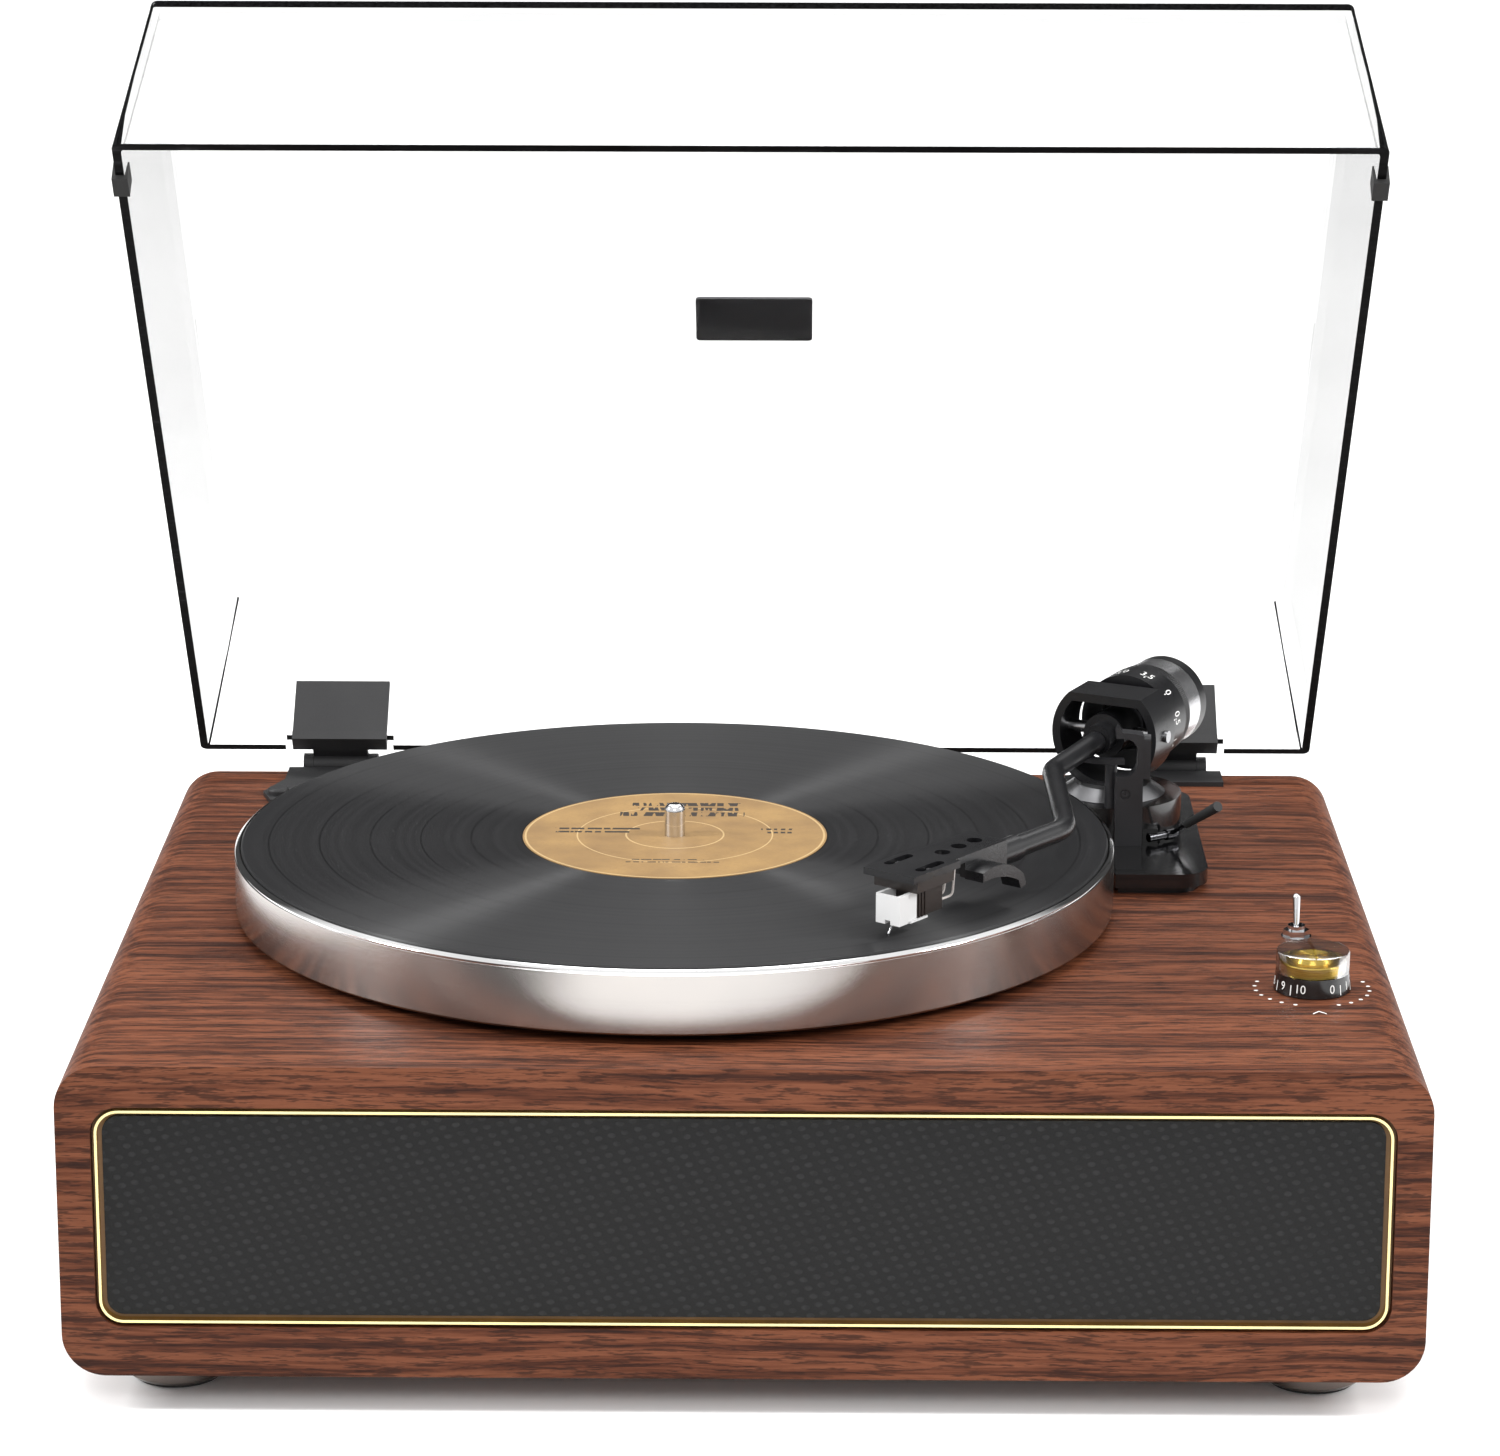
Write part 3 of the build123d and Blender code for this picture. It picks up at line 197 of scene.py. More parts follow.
black_plastic = finish("black_plastic", "17171A", 0.42)
hinge_plastic = finish("hinge_plastic", "121214", 0.6)
gloss_black = finish("gloss_black", "0B0B0C", 0.16, bump=0.015, coat=0.4)
satin_black = finish("satin_black_paint", "111113", 0.3, grain=4000.0, bump=0.03)
dark_grey = finish("dark_grey_plastic", "2C2C2E", 0.42)
blackened = finish("blackened_steel", "3C3C3E", 0.2, 1.0, bump=0.02)
steel = finish("plain_steel", "A6A6A8", 0.25, 1.0, bump=0.02)
chrome = finish("chrome", "D8D8DA", 0.08, 1.0, bump=0.008)
brass = finish("turned_brass", "C9A552", 0.25, 1.0, bump=0.02)
gold = finish("gold_trim", "E8D79A", 0.16, 1.0, bump=0.02)
dark_metal = finish("foot_metal", "6E6661", 0.15, 1.0, bump=0.02)
rubber = finish("rubber", "141414", 0.7, grain=3500.0, bump=0.1)
fibreboard = finish("fibreboard", "7B5F45", 0.8, grain=1800.0, bump=0.3, vary=0.2)
paper_cone = finish("paper_cone", "1C1C1C", 0.85, grain=1500.0, bump=0.3)
circuit = finish("solder_mask", "0F4A2A", 0.35, grain=1200.0)
white_plastic = finish("white_plastic", "C6C6C6", 0.38, bump=0.02, vary=0.03)
brown_plastic = finish("dark_brown_plastic", "1E1714", 0.3)
felt = finish("felt", "141414", 0.95, grain=2500.0, bump=0.5)
lead_skin = finish("lead_skin", "B9B2AE", 0.35, bump=0.02)

dress(["speaker_baffle"], fibreboard)
dress(["speaker_drivers", "rear_screws", "motor_body", "pivot_screws", "cartridge_screws", "stylus",
       "pot_body", "pot_shaft", "hinge_pins"], steel)
dress(["speaker_cones"], paper_cone)
dress(["rear_panel", "rear_sockets", "weight_sleeve", "lift_rail",
       "rest_post", "rest_prong"], black_plastic)
dress(["hinge_uppers", "hinge_lowers", "hinge_screws"], hinge_plastic)
dress(["rca_jacks", "spindle", "switch_body", "switch_nut", "switch_lever"], chrome)
dress(["foot_shells"], dark_metal)
dress(["foot_pads", "drive_belt", "lid_bumpers", "cue_grip"], rubber)
dress(["amp_board"], circuit)
dress(["bearing_housing", "motor_pulley"], brass)
dress(["grille_ring"], gold)
dress(["mat"], felt)
dress(["arm_base"], gloss_black)
dress(["cue_lever"], blackened)
dress(["lid_badge"], dark_grey)
dress(["yoke", "arm_hub", "arm_tube", "lock_ring", "headshell", "finger_lift", "weight_end_ring", "force_dial"], satin_black, 40)

dress(["cartridge_body"], brown_plastic)
dress(["stylus_block"], white_plastic)
dress(["cartridge_leads"], lead_skin)
dress(["knob_skirt"], gloss_black)


# ---- Speaker cloth ----
# Black woven cloth stretched behind the trim ring, with small raised dots in slanting rows.
def cloth():
    m, t, s, c = blank("speaker_cloth")
    split = add(t, "SeparateXYZ", {"Vector": scaled(t, c, (500.0, 500.0, 500.0))})
    x, z = split.outputs["X"], split.outputs["Z"]
    u = calc(t, "FRACT", calc(t, "ADD", calc(t, "MULTIPLY", x, 0.42), calc(t, "MULTIPLY", z, 0.24)))
    v = calc(t, "FRACT", calc(t, "SUBTRACT", calc(t, "MULTIPLY", z, 0.62), calc(t, "MULTIPLY", x, 0.16)))
    du = calc(t, "POWER", calc(t, "ABSOLUTE", calc(t, "SUBTRACT", u, 0.5)), 2.0)
    dv = calc(t, "POWER", calc(t, "ABSOLUTE", calc(t, "SUBTRACT", v, 0.5)), 2.0)
    dot = between(t, calc(t, "ADD", du, dv), 0.11, 0.05)
    weave = noise(t, c, 2600.0, 3.0, 0.6)
    uneven = noise(t, c, 420.0, 2.0, 0.5)
    tone = mixed(t, calc(t, "MULTIPLY", dot, between(t, uneven, 0.35, 0.65, 0.25, 1.0)), srgb("0B0B0C"), srgb("242425"))
    t.links.new(mixed(t, 0.25, tone, ramp(t, weave, [(0.3, "050505"), (0.7, "1C1C1C")])), s.inputs["Base Color"])
    s.inputs["Roughness"].default_value = 0.9
    bumped(t, s, calc(t, "ADD", dot, calc(t, "MULTIPLY", weave, 0.4)), 0.5, 0.0003)
    return m


dress(["grille_cloth"], cloth())


# ---- Platter, record and label ----
# The platter is turned aluminium with a polished double bevel; the record is pressed vinyl with cut tracks.
def surface(name, vertices, faces, material, smooth_angle=30):
    """Mesh object from arrays of points and faces."""
    mesh = bpy.data.meshes.new(name)
    mesh.from_pydata([tuple(v) for v in vertices], [], [tuple(f) for f in faces])
    mesh.validate()
    mesh.materials.append(material)
    mesh.shade_smooth()
    mesh.set_sharp_from_angle(angle=math.radians(smooth_angle))
    obj = bpy.data.objects.new(name, mesh)
    bpy.context.scene.collection.objects.link(obj)
    return obj


def turned(name, profile, centre, material, steps=256, closed=True):
    """Profile of (radius, height) points swept round a vertical axis through centre."""
    p = np.array(profile)
    a = np.linspace(0, 2 * math.pi, steps, endpoint=False)
    ring = np.stack([np.cos(a), np.sin(a)], 1)
    xy = ring[:, None, :] * p[None, :, :1]
    z = np.broadcast_to(p[None, :, 1:], (steps, len(p), 1))
    v = np.concatenate([xy, z], 2).reshape(-1, 3) + np.array([centre[0], centre[1], 0])
    n = len(p)
    i, j = np.meshgrid(np.arange(steps), np.arange(n if closed else n - 1), indexing="ij")
    k, l = (i + 1) % steps, (j + 1) % n
    f = np.stack([i * n + j, k * n + j, k * n + l, i * n + l], -1).reshape(-1, 4)
    return surface(name, v, f, material)


def middle(node):
    low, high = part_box(node)
    return [(a + b) / 2 for a, b in zip(low, high)]


def round_metal(name, colour, rough, centre, axis=(0, 0, 1), streak=1.0):
    """Metal turned about an axis: rings of fine tool marks and a highlight stretched across them."""
    m, t, s, c = blank(name)
    local = add(t, "VectorMath", {0: c, 1: tuple(-v for v in centre)}, operation="ADD").outputs[0]
    tangent = add(t, "VectorMath", {0: local, 1: tuple(axis)}, operation="CROSS_PRODUCT").outputs[0]
    along = add(t, "VectorMath", {0: local, 1: tuple(axis)}, operation="DOT_PRODUCT").outputs["Value"]
    radius = add(t, "VectorMath", {0: tangent}, operation="LENGTH").outputs["Value"]
    marks = noise(t, add(t, "CombineXYZ", {"X": calc(t, "MULTIPLY", radius, 9000.0),
                  "Z": calc(t, "MULTIPLY", along, 9000.0)}).outputs[0], 1.0, 3.0, 0.6)
    patch = noise(t, c, 30.0, 3.0, 0.5)
    t.links.new(mixed(t, between(t, patch, 0.3, 0.7, 0.0, 0.25), srgb(colour), srgb("9A9A9C")), s.inputs["Base Color"])
    s.inputs["Metallic"].default_value = 1.0
    t.links.new(between(t, marks, 0.3, 0.7, rough * 0.8, rough * 1.25), s.inputs["Roughness"])
    s.inputs["Anisotropic"].default_value = 0.6
    s.inputs["Anisotropic Rotation"].default_value = 0.25
    t.links.new(tangent, s.inputs["Tangent"])
    bumped(t, s, marks, 0.05 * streak, 0.0002)
    return m


def vinyl(centre, inner, outer):
    """Pressed vinyl: fine groove rings, a few plain bands between tracks, dust-free black sheen."""
    m, t, s, c = blank("vinyl")
    local = add(t, "VectorMath", {0: c, 1: (-centre[0], -centre[1], 0.0)}, operation="ADD").outputs[0]
    p = add(t, "SeparateXYZ", {"Vector": local})
    radius = calc(t, "POWER", calc(t, "ADD", calc(t, "POWER", p.outputs["X"], 2.0), calc(t, "POWER", p.outputs["Y"], 2.0)), 0.5)
    flat = add(t, "CombineXYZ", {"X": radius})
    groove = noise(t, scaled(t, flat.outputs[0], (1100.0, 1.0, 1.0)), 1.0, 1.0, 0.5)
    bands = noise(t, scaled(t, flat.outputs[0], (300.0, 1.0, 1.0)), 1.0, 2.0, 0.5)
    gap = calc(t, "LESS_THAN", calc(t, "FRACT", calc(t, "MULTIPLY", calc(t, "SUBTRACT", radius, inner), 57.0)), 0.035)
    tone = mixed(t, between(t, bands, 0.3, 0.7), srgb("1F1F20"), srgb("272728"))
    t.links.new(mixed(t, gap, tone, srgb("161617")), s.inputs["Base Color"])
    t.links.new(between(t, bands, 0.3, 0.7, 0.4, 0.47), s.inputs["Roughness"])
    s.inputs["Coat Weight"].default_value = 0.12
    s.inputs["Coat Roughness"].default_value = 0.1
    s.inputs["Anisotropic"].default_value = 1.0
    s.inputs["Anisotropic Rotation"].default_value = 0.25
    s.inputs["Specular IOR Level"].default_value = 0.3
    tangent = add(t, "VectorMath", {0: local, 1: (0.0, 0.0, 1.0)}, operation="CROSS_PRODUCT")
    t.links.new(tangent.outputs[0], s.inputs["Tangent"])
    bumped(t, s, calc(t, "MULTIPLY", groove, calc(t, "SUBTRACT", 1.0, gap)), 0.012, 0.0001)
    return m


centre = middle("platter")
low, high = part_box("platter")
radius = (high[0] - low[0]) / 2
z0, z1 = low[2], high[2]
rec_low, rec_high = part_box("record")
rec_r, rec_z = (rec_high[0] - rec_low[0]) / 2, rec_high[2]
mm = 0.001
platter = turned("turned_platter", [
    (0.062, z0 + 6 * mm), (radius - 5 * mm, z0 + 6 * mm), (radius - 5 * mm, z0), (radius - 0.9 * mm, z0),
    (radius - 0.4 * mm, z0 + 0.3 * mm), (radius, z0 + 0.9 * mm), (radius, z0 + 20.4 * mm), (radius - 0.45 * mm, z0 + 20.7 * mm),
    (radius - 0.45 * mm, z0 + 21.0 * mm), (radius - 0.1 * mm, z0 + 21.2 * mm), (radius - 0.3 * mm, z0 + 21.5 * mm),
    (radius - 1.3 * mm, z1), (rec_r + 0.4 * mm, z1), (rec_r + 0.4 * mm, z1 - 3.6 * mm),
    (0.004, z1 - 3.6 * mm), (0.004, z0 + 6 * mm)], centre, round_metal("turned_aluminium", "B9B4B0", 0.2, centre), 384)
platter.data.materials.append(round_metal("polished_bevel", "F6F6F6", 0.07, centre))
for face in platter.data.polygons:
    face.material_index = int(face.center.z > z0 + 20.5 * mm and math.dist(face.center[:2], centre[:2]) > rec_r + 0.3 * mm)
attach(platter, "turntable")
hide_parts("platter")

label_r = (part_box("record_label")[1][0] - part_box("record_label")[0][0]) / 2
disc = turned("pressed_record", [
    (3.63 * mm, rec_z - 0.2 * mm), (label_r, rec_z - 0.2 * mm), (label_r + 0.3 * mm, rec_z - 0.12 * mm),
    (label_r + 4 * mm, rec_z - 0.12 * mm), (rec_r - 5 * mm, rec_z - 0.1 * mm), (rec_r - 3.2 * mm, rec_z),
    (rec_r - 0.7 * mm, rec_z), (rec_r - 0.1 * mm, rec_z - 0.5 * mm), (rec_r, rec_z - 0.9 * mm),
    (rec_r - 0.1 * mm, rec_z - 1.3 * mm), (rec_r - 0.8 * mm, rec_z - 1.8 * mm), (3.63 * mm, rec_z - 1.8 * mm)],
    centre, vinyl(centre, label_r, rec_r), 384)
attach(disc, "turntable")
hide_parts("record")


def label_paper():
    """Tan paper with printed rings and small plain bars where a label's lines of print would be."""
    m, t, s, c = blank("label_paper")
    local = add(t, "VectorMath", {0: c, 1: (-centre[0], -centre[1], 0.0)}, operation="ADD").outputs[0]
    p = add(t, "SeparateXYZ", {"Vector": local})
    x, y = p.outputs["X"], p.outputs["Y"]
    r = calc(t, "POWER", calc(t, "ADD", calc(t, "POWER", x, 2.0), calc(t, "POWER", y, 2.0)), 0.5)
    fibre = noise(t, c, 900.0, 4.0, 0.6)
    patch = noise(t, c, 60.0, 3.0, 0.5)
    colour = ramp(t, patch, [(0.3, "7E623C"), (0.7, "967748")])
    colour = mixed(t, between(t, fibre, 0.4, 0.7, 0.0, 0.3), colour, srgb("7A5E3A"))
    for radius_mm, width in ((52.0, 0.35), (17.0, 0.3), (34.0, 0.25)):
        line = calc(t, "LESS_THAN", calc(t, "ABSOLUTE", calc(t, "SUBTRACT", r, radius_mm * 0.001)), width * 0.001)
        colour = mixed(t, calc(t, "MULTIPLY", line, 0.6), colour, srgb("C4A878"))
    for x0, x1, y0, y1 in BARS:
        inside = calc(t, "MULTIPLY", calc(t, "GREATER_THAN", x, x0 * 0.001), calc(t, "LESS_THAN", x, x1 * 0.001))
        inside = calc(t, "MULTIPLY", inside, calc(t, "GREATER_THAN", y, y0 * 0.001))
        inside = calc(t, "MULTIPLY", inside, calc(t, "LESS_THAN", y, y1 * 0.001))
        broken = calc(t, "GREATER_THAN", noise(t, scaled(t, local, (700.0, 90.0, 90.0)), 1.0, 1.0, 0.3), 0.47)
        colour = mixed(t, calc(t, "MULTIPLY", inside, broken), colour, srgb("2A2118"))
    t.links.new(colour, s.inputs["Base Color"])
    s.inputs["Roughness"].default_value = 0.6
    bumped(t, s, fibre, 0.08, 0.0001)
    return m


BARS = ((-16, 24, 36, 40), (-14, 22, 30, 34), (-20, 24, 23, 28), (-42, -12, 6, 8), (-42, -16, 2, 4), (30, 42, 6, 8),
        (32, 42, 2, 4), (-14, 14, -31, -30), (-16, 16, -34, -33))
dress(["record_label"], label_paper())


# ---- Counterweight, dial and knob markings ----
# A turned steel weight with a knurled black grip behind the numbered force dial; the figures are printed in white.
def joint_of(name):
    return next(j for j in frame["joints"] if j["name"] == name)


pivot, back = np.array(joint_of("weight_turn")["pos_m"]), np.array(joint_of("weight_turn")["axis"], float)
back = back / np.linalg.norm(back)
across = np.cross(back, (0, 0, 1))


def knurled():
    """Black grip: height is the sine of the angle round the arm, 150 ridges to the turn."""
    m, t, s, c = blank("knurled_grip")
    local = add(t, "VectorMath", {0: c, 1: tuple(-pivot)}, operation="ADD").outputs[0]
    x = add(t, "VectorMath", {0: local, 1: tuple(across)}, operation="DOT_PRODUCT").outputs["Value"]
    z = add(t, "SeparateXYZ", {"Vector": local}).outputs["Z"]
    ridge = calc(t, "SINE", calc(t, "MULTIPLY", calc(t, "ARCTAN2", z, x), 150.0))
    worn = noise(t, c, 300.0, 3.0, 0.6)
    t.links.new(ramp(t, worn, [(0.3, "0C0C0D"), (0.7, "1B1B1D")]), s.inputs["Base Color"])
    s.inputs["Roughness"].default_value = 0.38
    bumped(t, s, ridge, 0.6, 0.0003)
    return m


def dress_weight():
    """The grip's faces lie within five millimetres of the dial's end; the rest is bare steel."""
    mesh = frame["nodes"]["counterweight"].data
    mesh.materials.clear()
    mesh.materials.append(round_metal("turned_steel", "D9D9DB", 0.2, pivot, back))
    mesh.materials.append(knurled())
    centres = np.zeros(len(mesh.polygons) * 3)
    mesh.polygons.foreach_get("center", centres)
    along = (centres.reshape(-1, 3) - pivot) @ back
    mesh.polygons.foreach_set("material_index", (along < 0.0316).astype(np.int32))
    mesh.shade_smooth()
    mesh.set_sharp_from_angle(angle=math.radians(32))


def figures(text, height, narrow=1.0):
    """Flat outline of a few characters, centred, as points and faces."""
    curve = bpy.data.curves.new("figures", "FONT")
    curve.body, curve.size, curve.align_x, curve.resolution_u = text, height * 1.38, "CENTER", 3
    obj = bpy.data.objects.new("figures", curve)
    bpy.context.scene.collection.objects.link(obj)
    mesh = obj.to_mesh()
    v = np.array([tuple(p.co) for p in mesh.vertices])
    f = [tuple(q.vertices) for q in mesh.polygons]
    obj.to_mesh_clear()
    bpy.data.objects.remove(obj)
    bpy.data.curves.remove(curve)
    return (v[:, :2] - (0, height / 2)) * (narrow, 1.0), f


def bar(x0, x1, y0, y1, steps=1):
    x = np.linspace(x0, x1, steps + 1)
    v = np.array([(a, b) for a in x for b in (y0, y1)])
    return v, [(2 * i, 2 * i + 2, 2 * i + 3, 2 * i + 1) for i in range(steps)]


def wrapped(parts, wrap):
    """Joins flat outlines after bending each with wrap(points, place)."""
    points, faces = [], []
    for (v, f), place in parts:
        base = sum(len(p) for p in points)
        points.append(wrap(v, place))
        faces += [tuple(i + base for i in q) for q in f]
    return np.concatenate(points), faces


ink = finish("white_ink", "E4E4E2", 0.5, bump=0.01, vary=0.04)


def print_dial():
    """Half-gram figures every 33 degrees, each with a short index line in front."""
    r, s0 = 0.01766, 0.0188

    def wrap(v, angle):
        a = math.radians(angle) + v[:, 0] / r
        ring = np.sin(a)[:, None] * across + np.cos(a)[:, None] * np.array([0, 0, 1])
        return pivot + ring * r + back * (s0 + v[:, 1])[:, None]

    parts = []
    for angle, text in ((50, "0"), (83, "0.5"), (116, "1.0"), (149, "1.5"), (182, "2.0"), (278.5, "2.0"),
                        (311.5, "2.5"), (344.5, "3.0"), (17.5, "3.5")):
        parts.append((figures(text, 0.0043, 0.72), angle))
        parts.append((bar(-0.0002, 0.0002, -0.0039, -0.0027), angle))
    return surface("dial_figures", *wrapped(parts, wrap), ink)


def print_knob():
    """Figures 0 to 10 every 31 degrees round the skirt, with lines between them."""
    low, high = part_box("knob_skirt")
    x0, y0 = middle("knob_skirt")[:2]
    r0, r1 = 0.01297, 0.01227
    z0, rise = low[2], high[2] - low[2]

    def wrap(v, angle):
        a = math.radians(angle) + v[:, 0] / r0
        z = rise * 0.5 + v[:, 1]
        r = r0 + (r1 - r0) * z / rise
        return np.stack([x0 + r * np.cos(a), y0 + r * np.sin(a), z0 + z], 1)

    parts = []
    for k in range(11):
        parts.append((figures(str(k), 0.0030), -64 + 31 * k))
        if k < 10:
            parts.append((bar(-0.0002, 0.0002, -0.0026, 0.0008), -48.5 + 31 * k))
    return surface("knob_figures", *wrapped(parts, wrap), ink)


def print_top():
    """Seven dots on each side of the knob and a small arrow in front of it."""
    x0, y0 = middle("knob_skirt")[:2]
    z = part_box("cabinet_shell")[1][2] + 0.00006
    points, faces = [], []
    for degrees in [90 + side * (158 - 15 * k) for side in (-1, 1) for k in range(7)]:
        a = math.radians(degrees)
        r = 0.0007
        t = np.linspace(0, 2 * math.pi, 16, endpoint=False)
        base = len(points)
        cx, cy = x0 + 0.0190 * math.cos(a), y0 + 0.0190 * math.sin(a)
        points += [(cx + r * math.cos(b), cy + r * math.sin(b), z) for b in t]
        faces.append(tuple(base + i for i in range(16)))
    for side in (-1, 1):
        base = len(points)
        tip = y0 - 0.0240
        points += [(x0, tip, z), (x0, tip - 0.0008, z), (x0 + side * 0.0022, tip - 0.0034, z), (x0 + side * 0.0022, tip - 0.0026, z)]
        faces.append(tuple(base + i for i in ((0, 1, 2, 3) if side > 0 else (3, 2, 1, 0))))
    return surface("top_marks", points, faces, ink)


dress(["arm_cone"], round_metal("turned_cone", "7C7C7E", 0.32, middle("arm_cone")))
dress_weight()
for piece, body in ((print_dial(), "dial"), (print_knob(), "volume"), (print_top(), "base")):
    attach(piece, body)


# ---- Clear cover ----
# Glued sheets of clear acrylic: the faces all but vanish, while the cut edges and glued corners are painted near-black
# as shade, standing in for the dark that refraction shows along them.
def clear_acrylic(name, tint, gloss):
    m, t, s, c = blank(name)
    scratch = noise(t, scaled(t, c, (30.0, 400.0, 400.0)), 1.0, 4.0, 0.7)
    smear = noise(t, c, 9.0, 4.0, 0.6)
    t.nodes.remove(s)
    slant = between(t, add(t, "LayerWeight", {"Blend": 0.5}).outputs["Facing"], 0.55, 0.98)
    clear = add(t, "BsdfTransparent", {"Color": mixed(t, slant, srgb(tint), srgb("D2D2D2"))})
    shine = add(t, "BsdfGlossy", {"Color": (1.0, 1.0, 1.0, 1.0), "Roughness": between(t, smear, 0.3, 0.7, 0.02, 0.07)})
    edge = add(t, "Fresnel", {"IOR": 1.4})
    amount = calc(t, "MULTIPLY", edge.outputs[0], between(t, scratch, 0.3, 0.75, gloss * 0.8, gloss * 1.1))
    both = add(t, "MixShader", {0: amount, 1: clear.outputs[0], 2: shine.outputs[0]})
    t.links.new(both.outputs[0], t.nodes["Material Output"].inputs["Surface"])
    return m


def darken_glued(material, turn, pivot, corner):
    """Painted shade: black where the turned-down front sheet meets the top and the sides, standing in for the dark that
    refraction shows along these corners; corner is |x|, y and z when closed.
    """
    t = material.node_tree
    out = t.nodes["Material Output"].inputs["Surface"]
    clear = out.links[0].from_socket
    local = add(t, "VectorMath", {0: add(t, "TexCoord", {}).outputs["Object"], 1: tuple(-pivot)}, operation="ADD").outputs[0]
    x, y, z = (add(t, "VectorMath", {0: local, 1: tuple(row)}, operation="DOT_PRODUCT").outputs["Value"] for row in turn)
    front = calc(t, "LESS_THAN", y, corner[1] + 0.0042)
    top = calc(t, "GREATER_THAN", z, corner[2] - 0.0042)
    side = calc(t, "GREATER_THAN", calc(t, "ABSOLUTE", x), corner[0] - 0.0034)
    # Painted shade: a near-black diffuse with slight noise, put where refraction darkens the corners.
    corner_shade_noise = noise(t, local, 900.0, 3.0, 0.6)
    dark = add(t, "BsdfDiffuse", {"Color": ramp(t, corner_shade_noise, [(0.35, "050505"), (0.75, "1A1A1B")])})
    both = add(t, "MixShader", {0: calc(t, "MULTIPLY", front, calc(t, "MAXIMUM", top, side)), 1: clear, 2: dark.outputs[0]})
    t.links.new(both.outputs[0], out)


def cut_edge():
    # Painted shade: the cut edges are coloured near-black for the dark that refraction shows along them; the saw noise
    # only adds marks and bumps.
    m, t, s, c = blank("acrylic_edge_painted_dark")
    saw = noise(t, scaled(t, c, (60.0, 600.0, 600.0)), 1.0, 3.0, 0.6)
    t.links.new(ramp(t, saw, [(0.3, "050505"), (0.62, "101011"), (0.8, "2A2A2C")]), s.inputs["Base Color"])
    s.inputs["Roughness"].default_value = 0.35
    s.inputs["Specular IOR Level"].default_value = 0.04
    bumped(t, s, saw, 0.1, 0.0002)
    return m


def dress_lid():
    """Faces of the cover's rim and of its front corners get the near-black painted edge, a painted shade for the dark
    that refraction shows there; the rest stays clear.
    """
    mesh = frame["nodes"]["lid"].data
    mesh.materials.clear()
    sheets = clear_acrylic("clear_acrylic", "FCFCFC", 0.1)
    mesh.materials.append(sheets)
    mesh.materials.append(cut_edge())
    count = len(mesh.polygons)
    normals, centres = np.zeros(count * 3), np.zeros(count * 3)
    mesh.polygons.foreach_get("normal", normals)
    mesh.polygons.foreach_get("center", centres)
    n, p = normals.reshape(-1, 3), centres.reshape(-1, 3)
    joint = joint_of("lid_hinge")
    a = math.radians(joint["range_deg"][1])
    turn = np.array([[1, 0, 0], [0, math.cos(a), -math.sin(a)], [0, math.sin(a), math.cos(a)]])
    n = n @ turn.T
    p = (p - np.array(joint["pos_m"])) @ turn.T
    corner = (np.abs(p[:, 0]).max(), p[:, 1].min(), p[:, 2].max())
    darken_glued(sheets, turn, np.array(joint["pos_m"]), corner)
    rim = n[:, 2] < -0.9
    low_edge = p[:, 2] < 0.006
    slanted = (np.abs(n[:, 0]) > 0.25) & (n[:, 1] < -0.25)
    fold = (n[:, 1] < -0.25) & (n[:, 2] > 0.25)
    dark = (rim & low_edge) | slanted | fold
    mesh.polygons.foreach_set("material_index", dark.astype(np.int32))
    mesh.update()


dress_lid()


# ---- Knob cap and its gold insert ----
# A clear moulded cap over an anodised insert with turned ridges on its raised middle.
x0, y0 = middle("knob_cap")[:2]
low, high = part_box("knob_cap")
r, z0, z1 = (high[0] - low[0]) / 2, low[2], high[2]
step = z0 + 3.6 * mm
ridges = [(7.0 * mm, step)]
for k in range(6):
    ridges += [((6.4 - k) * mm, step + 1.4 * mm), ((5.9 - k) * mm, step + 0.9 * mm)]
drum = turned("gold_insert", [(r - 1.2 * mm, z0), (r - 1.2 * mm, step - 0.3 * mm), (r - 1.5 * mm, step)] + ridges
              + [(0.3 * mm, step + 1.4 * mm), (0.3 * mm, z0)], (x0, y0),
              round_metal("anodised_gold", "E3C04E", 0.28, (x0, y0, z0)), 96)
cap = turned("clear_knob_cap", [
    (0.2 * mm, z1), (r - 1.0 * mm, z1), (r - 0.3 * mm, z1 - 0.25 * mm), (r, z1 - 0.9 * mm), (r, z0), (r - 0.9 * mm, z0),
    (r - 0.9 * mm, step + 0.25 * mm), (7.6 * mm, step + 0.25 * mm), (7.6 * mm, step + 1.9 * mm),
    (0.2 * mm, step + 1.9 * mm)], (x0, y0), clear_acrylic("clear_cap", "F4F4F2", 0.45), 96)
for piece, node in ((drum, "knob_drum"), (cap, "knob_cap")):
    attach(piece, "volume")
    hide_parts(node)


# ---- Studio ----
# Pale seamless floor, large soft lights in front and above, and dark cards the metal reflects.
def stage_floor():
    m, t, s, c = blank("studio_floor")
    dust = noise(t, c, 3.0, 4.0, 0.5)
    t.links.new(ramp(t, dust, [(0.3, "F6F6F6"), (0.7, "FFFFFF")]), s.inputs["Base Color"])
    s.inputs["Roughness"].default_value = 0.5
    size = 6.0
    floor = surface("floor", [(-size, -size, 0), (size, -size, 0), (size, size, 0), (-size, size, 0)], [(0, 1, 2, 3)], m)


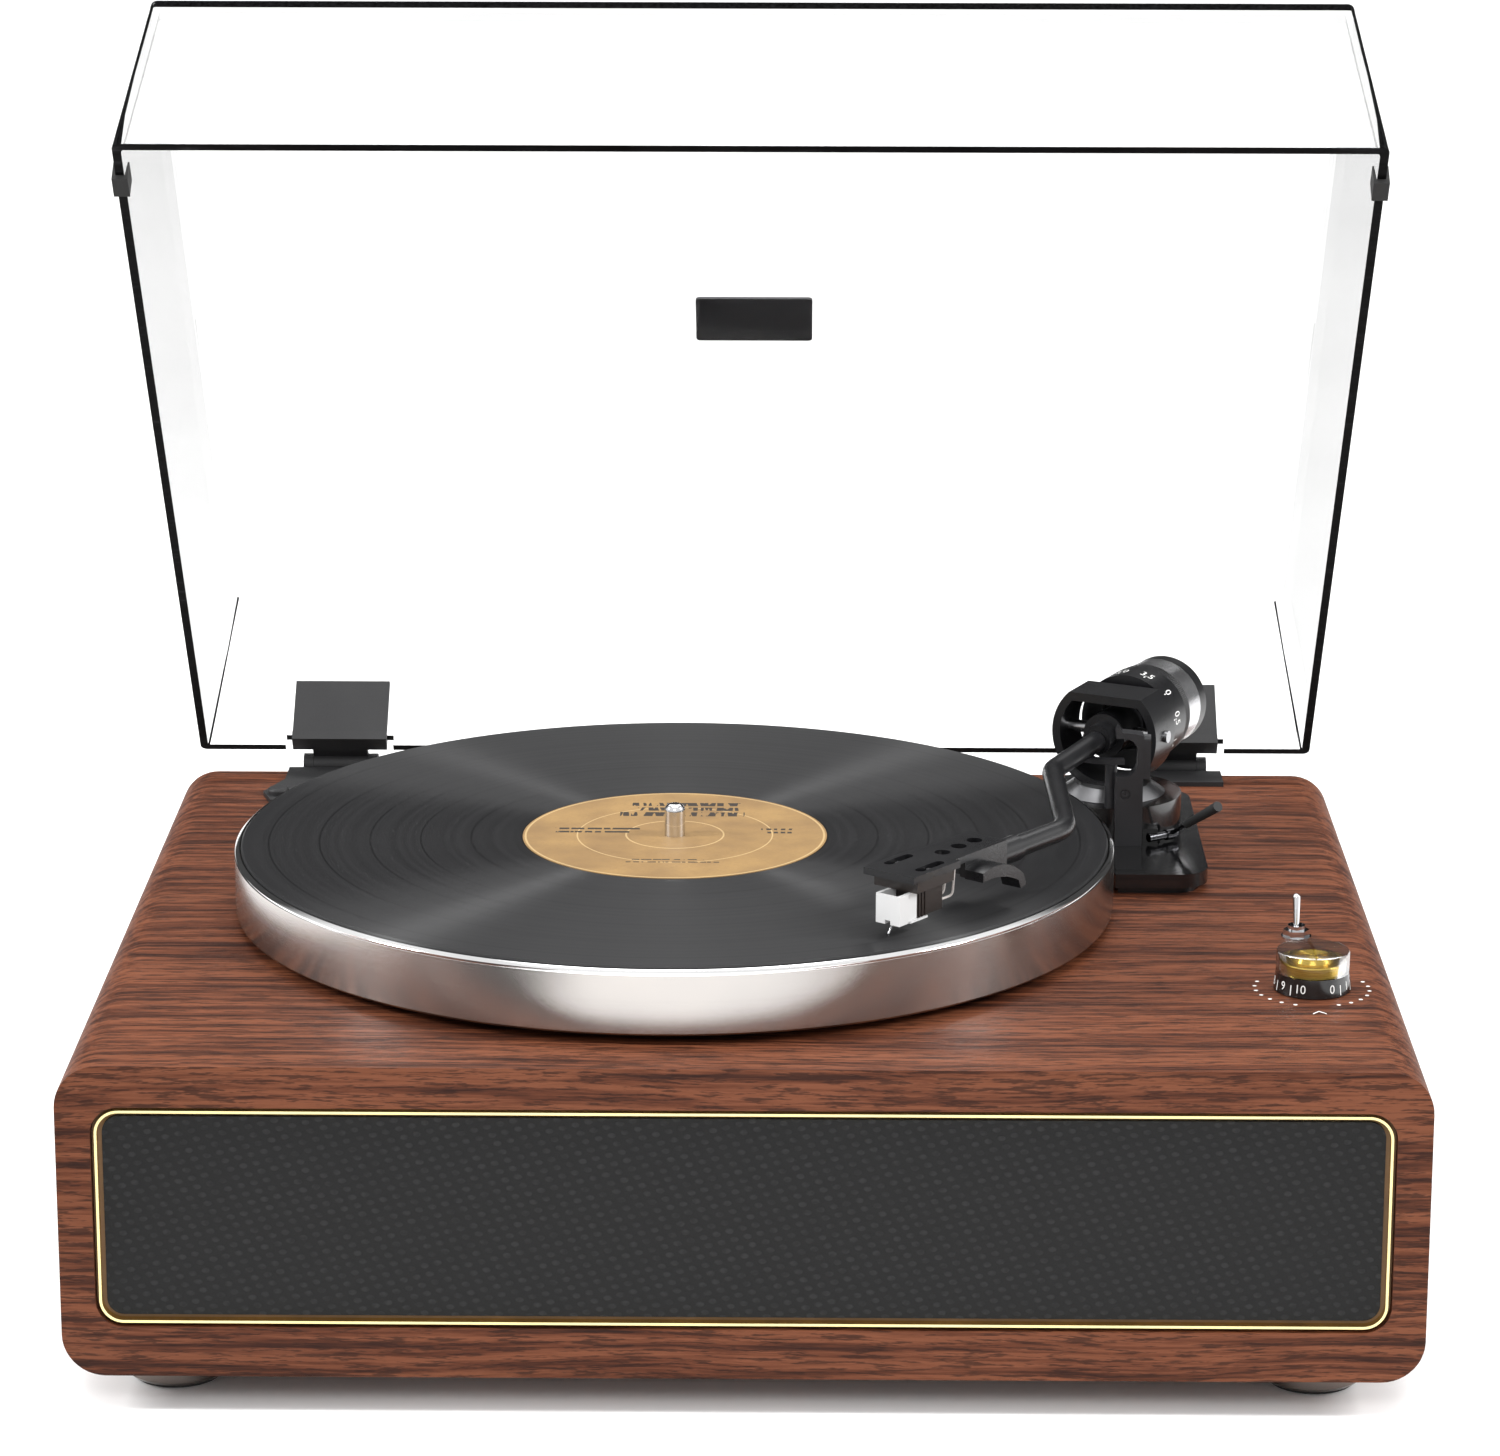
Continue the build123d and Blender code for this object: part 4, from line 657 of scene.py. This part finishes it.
def lamp(name, place, target, size, power):
    light = bpy.data.lights.new(name, "AREA")
    light.shape = "RECTANGLE"
    light.size, light.size_y = size
    light.energy = power
    obj = bpy.data.objects.new(name, light)
    obj.location = place
    obj.rotation_euler = (Vector(target) - Vector(place)).to_track_quat("-Z", "Y").to_euler()
    bpy.context.scene.collection.objects.link(obj)


stage_floor()
for name, x0, x1, tone in (("left_card", -0.70, -0.27, "141414"), ("right_card", 0.36, 0.85, "4A3A32")):
    card = surface(name, [(x0, -0.80, 0.002), (x1, -0.80, 0.002), (x1, -0.28, 0.002), (x0, -0.28, 0.002)],
                   [(0, 1, 2, 3)], finish(name, tone, 0.9))
lamp("front_soft", (0.0, -1.9, 1.5), (0, 0, 0.1), (0.9, 0.7), 12)
lamp("left_soft", (-1.9, -0.3, 1.3), (0, 0, 0.1), (0.3, 0.8), 40)
lamp("right_soft", (1.9, -0.3, 1.3), (0, 0, 0.1), (0.3, 0.8), 36)
lamp("top_soft", (0.0, 0.2, 2.4), (0, 0, 0.1), (1.8, 1.2), 22)
lamp("back_soft", (0.0, 2.6, 2.6), (0, 3.2, 0.0), (4.0, 1.5), 55)

world = bpy.data.worlds.new("studio")
bpy.context.scene.world = world
world.use_nodes = True
sky = world.node_tree
way = add(sky, "SeparateXYZ", {"Vector": add(sky, "TexCoord", {}).outputs["Generated"]})
behind = calc(sky, "MULTIPLY", between(sky, way.outputs["Y"], 0.35, 0.6), between(sky, way.outputs["Z"], 0.75, 0.5))
sky.links.new(mixed(sky, behind, srgb("FFFFFF"), srgb("4A4A4A")), sky.nodes["Background"].inputs["Color"])

view = bpy.data.cameras.new("view")
view.lens = 121.8
view.sensor_width = 36.0
view.clip_end = 50.0
camera = bpy.data.objects.new("view", view)
camera.location = (0.0183, -1.7231, 0.6402)
camera.rotation_euler = (math.radians(74.88), math.radians(-0.087), math.radians(0.637))
bpy.context.scene.collection.objects.link(camera)
bpy.context.scene.camera = camera
bpy.context.scene.view_settings.view_transform = "Standard"
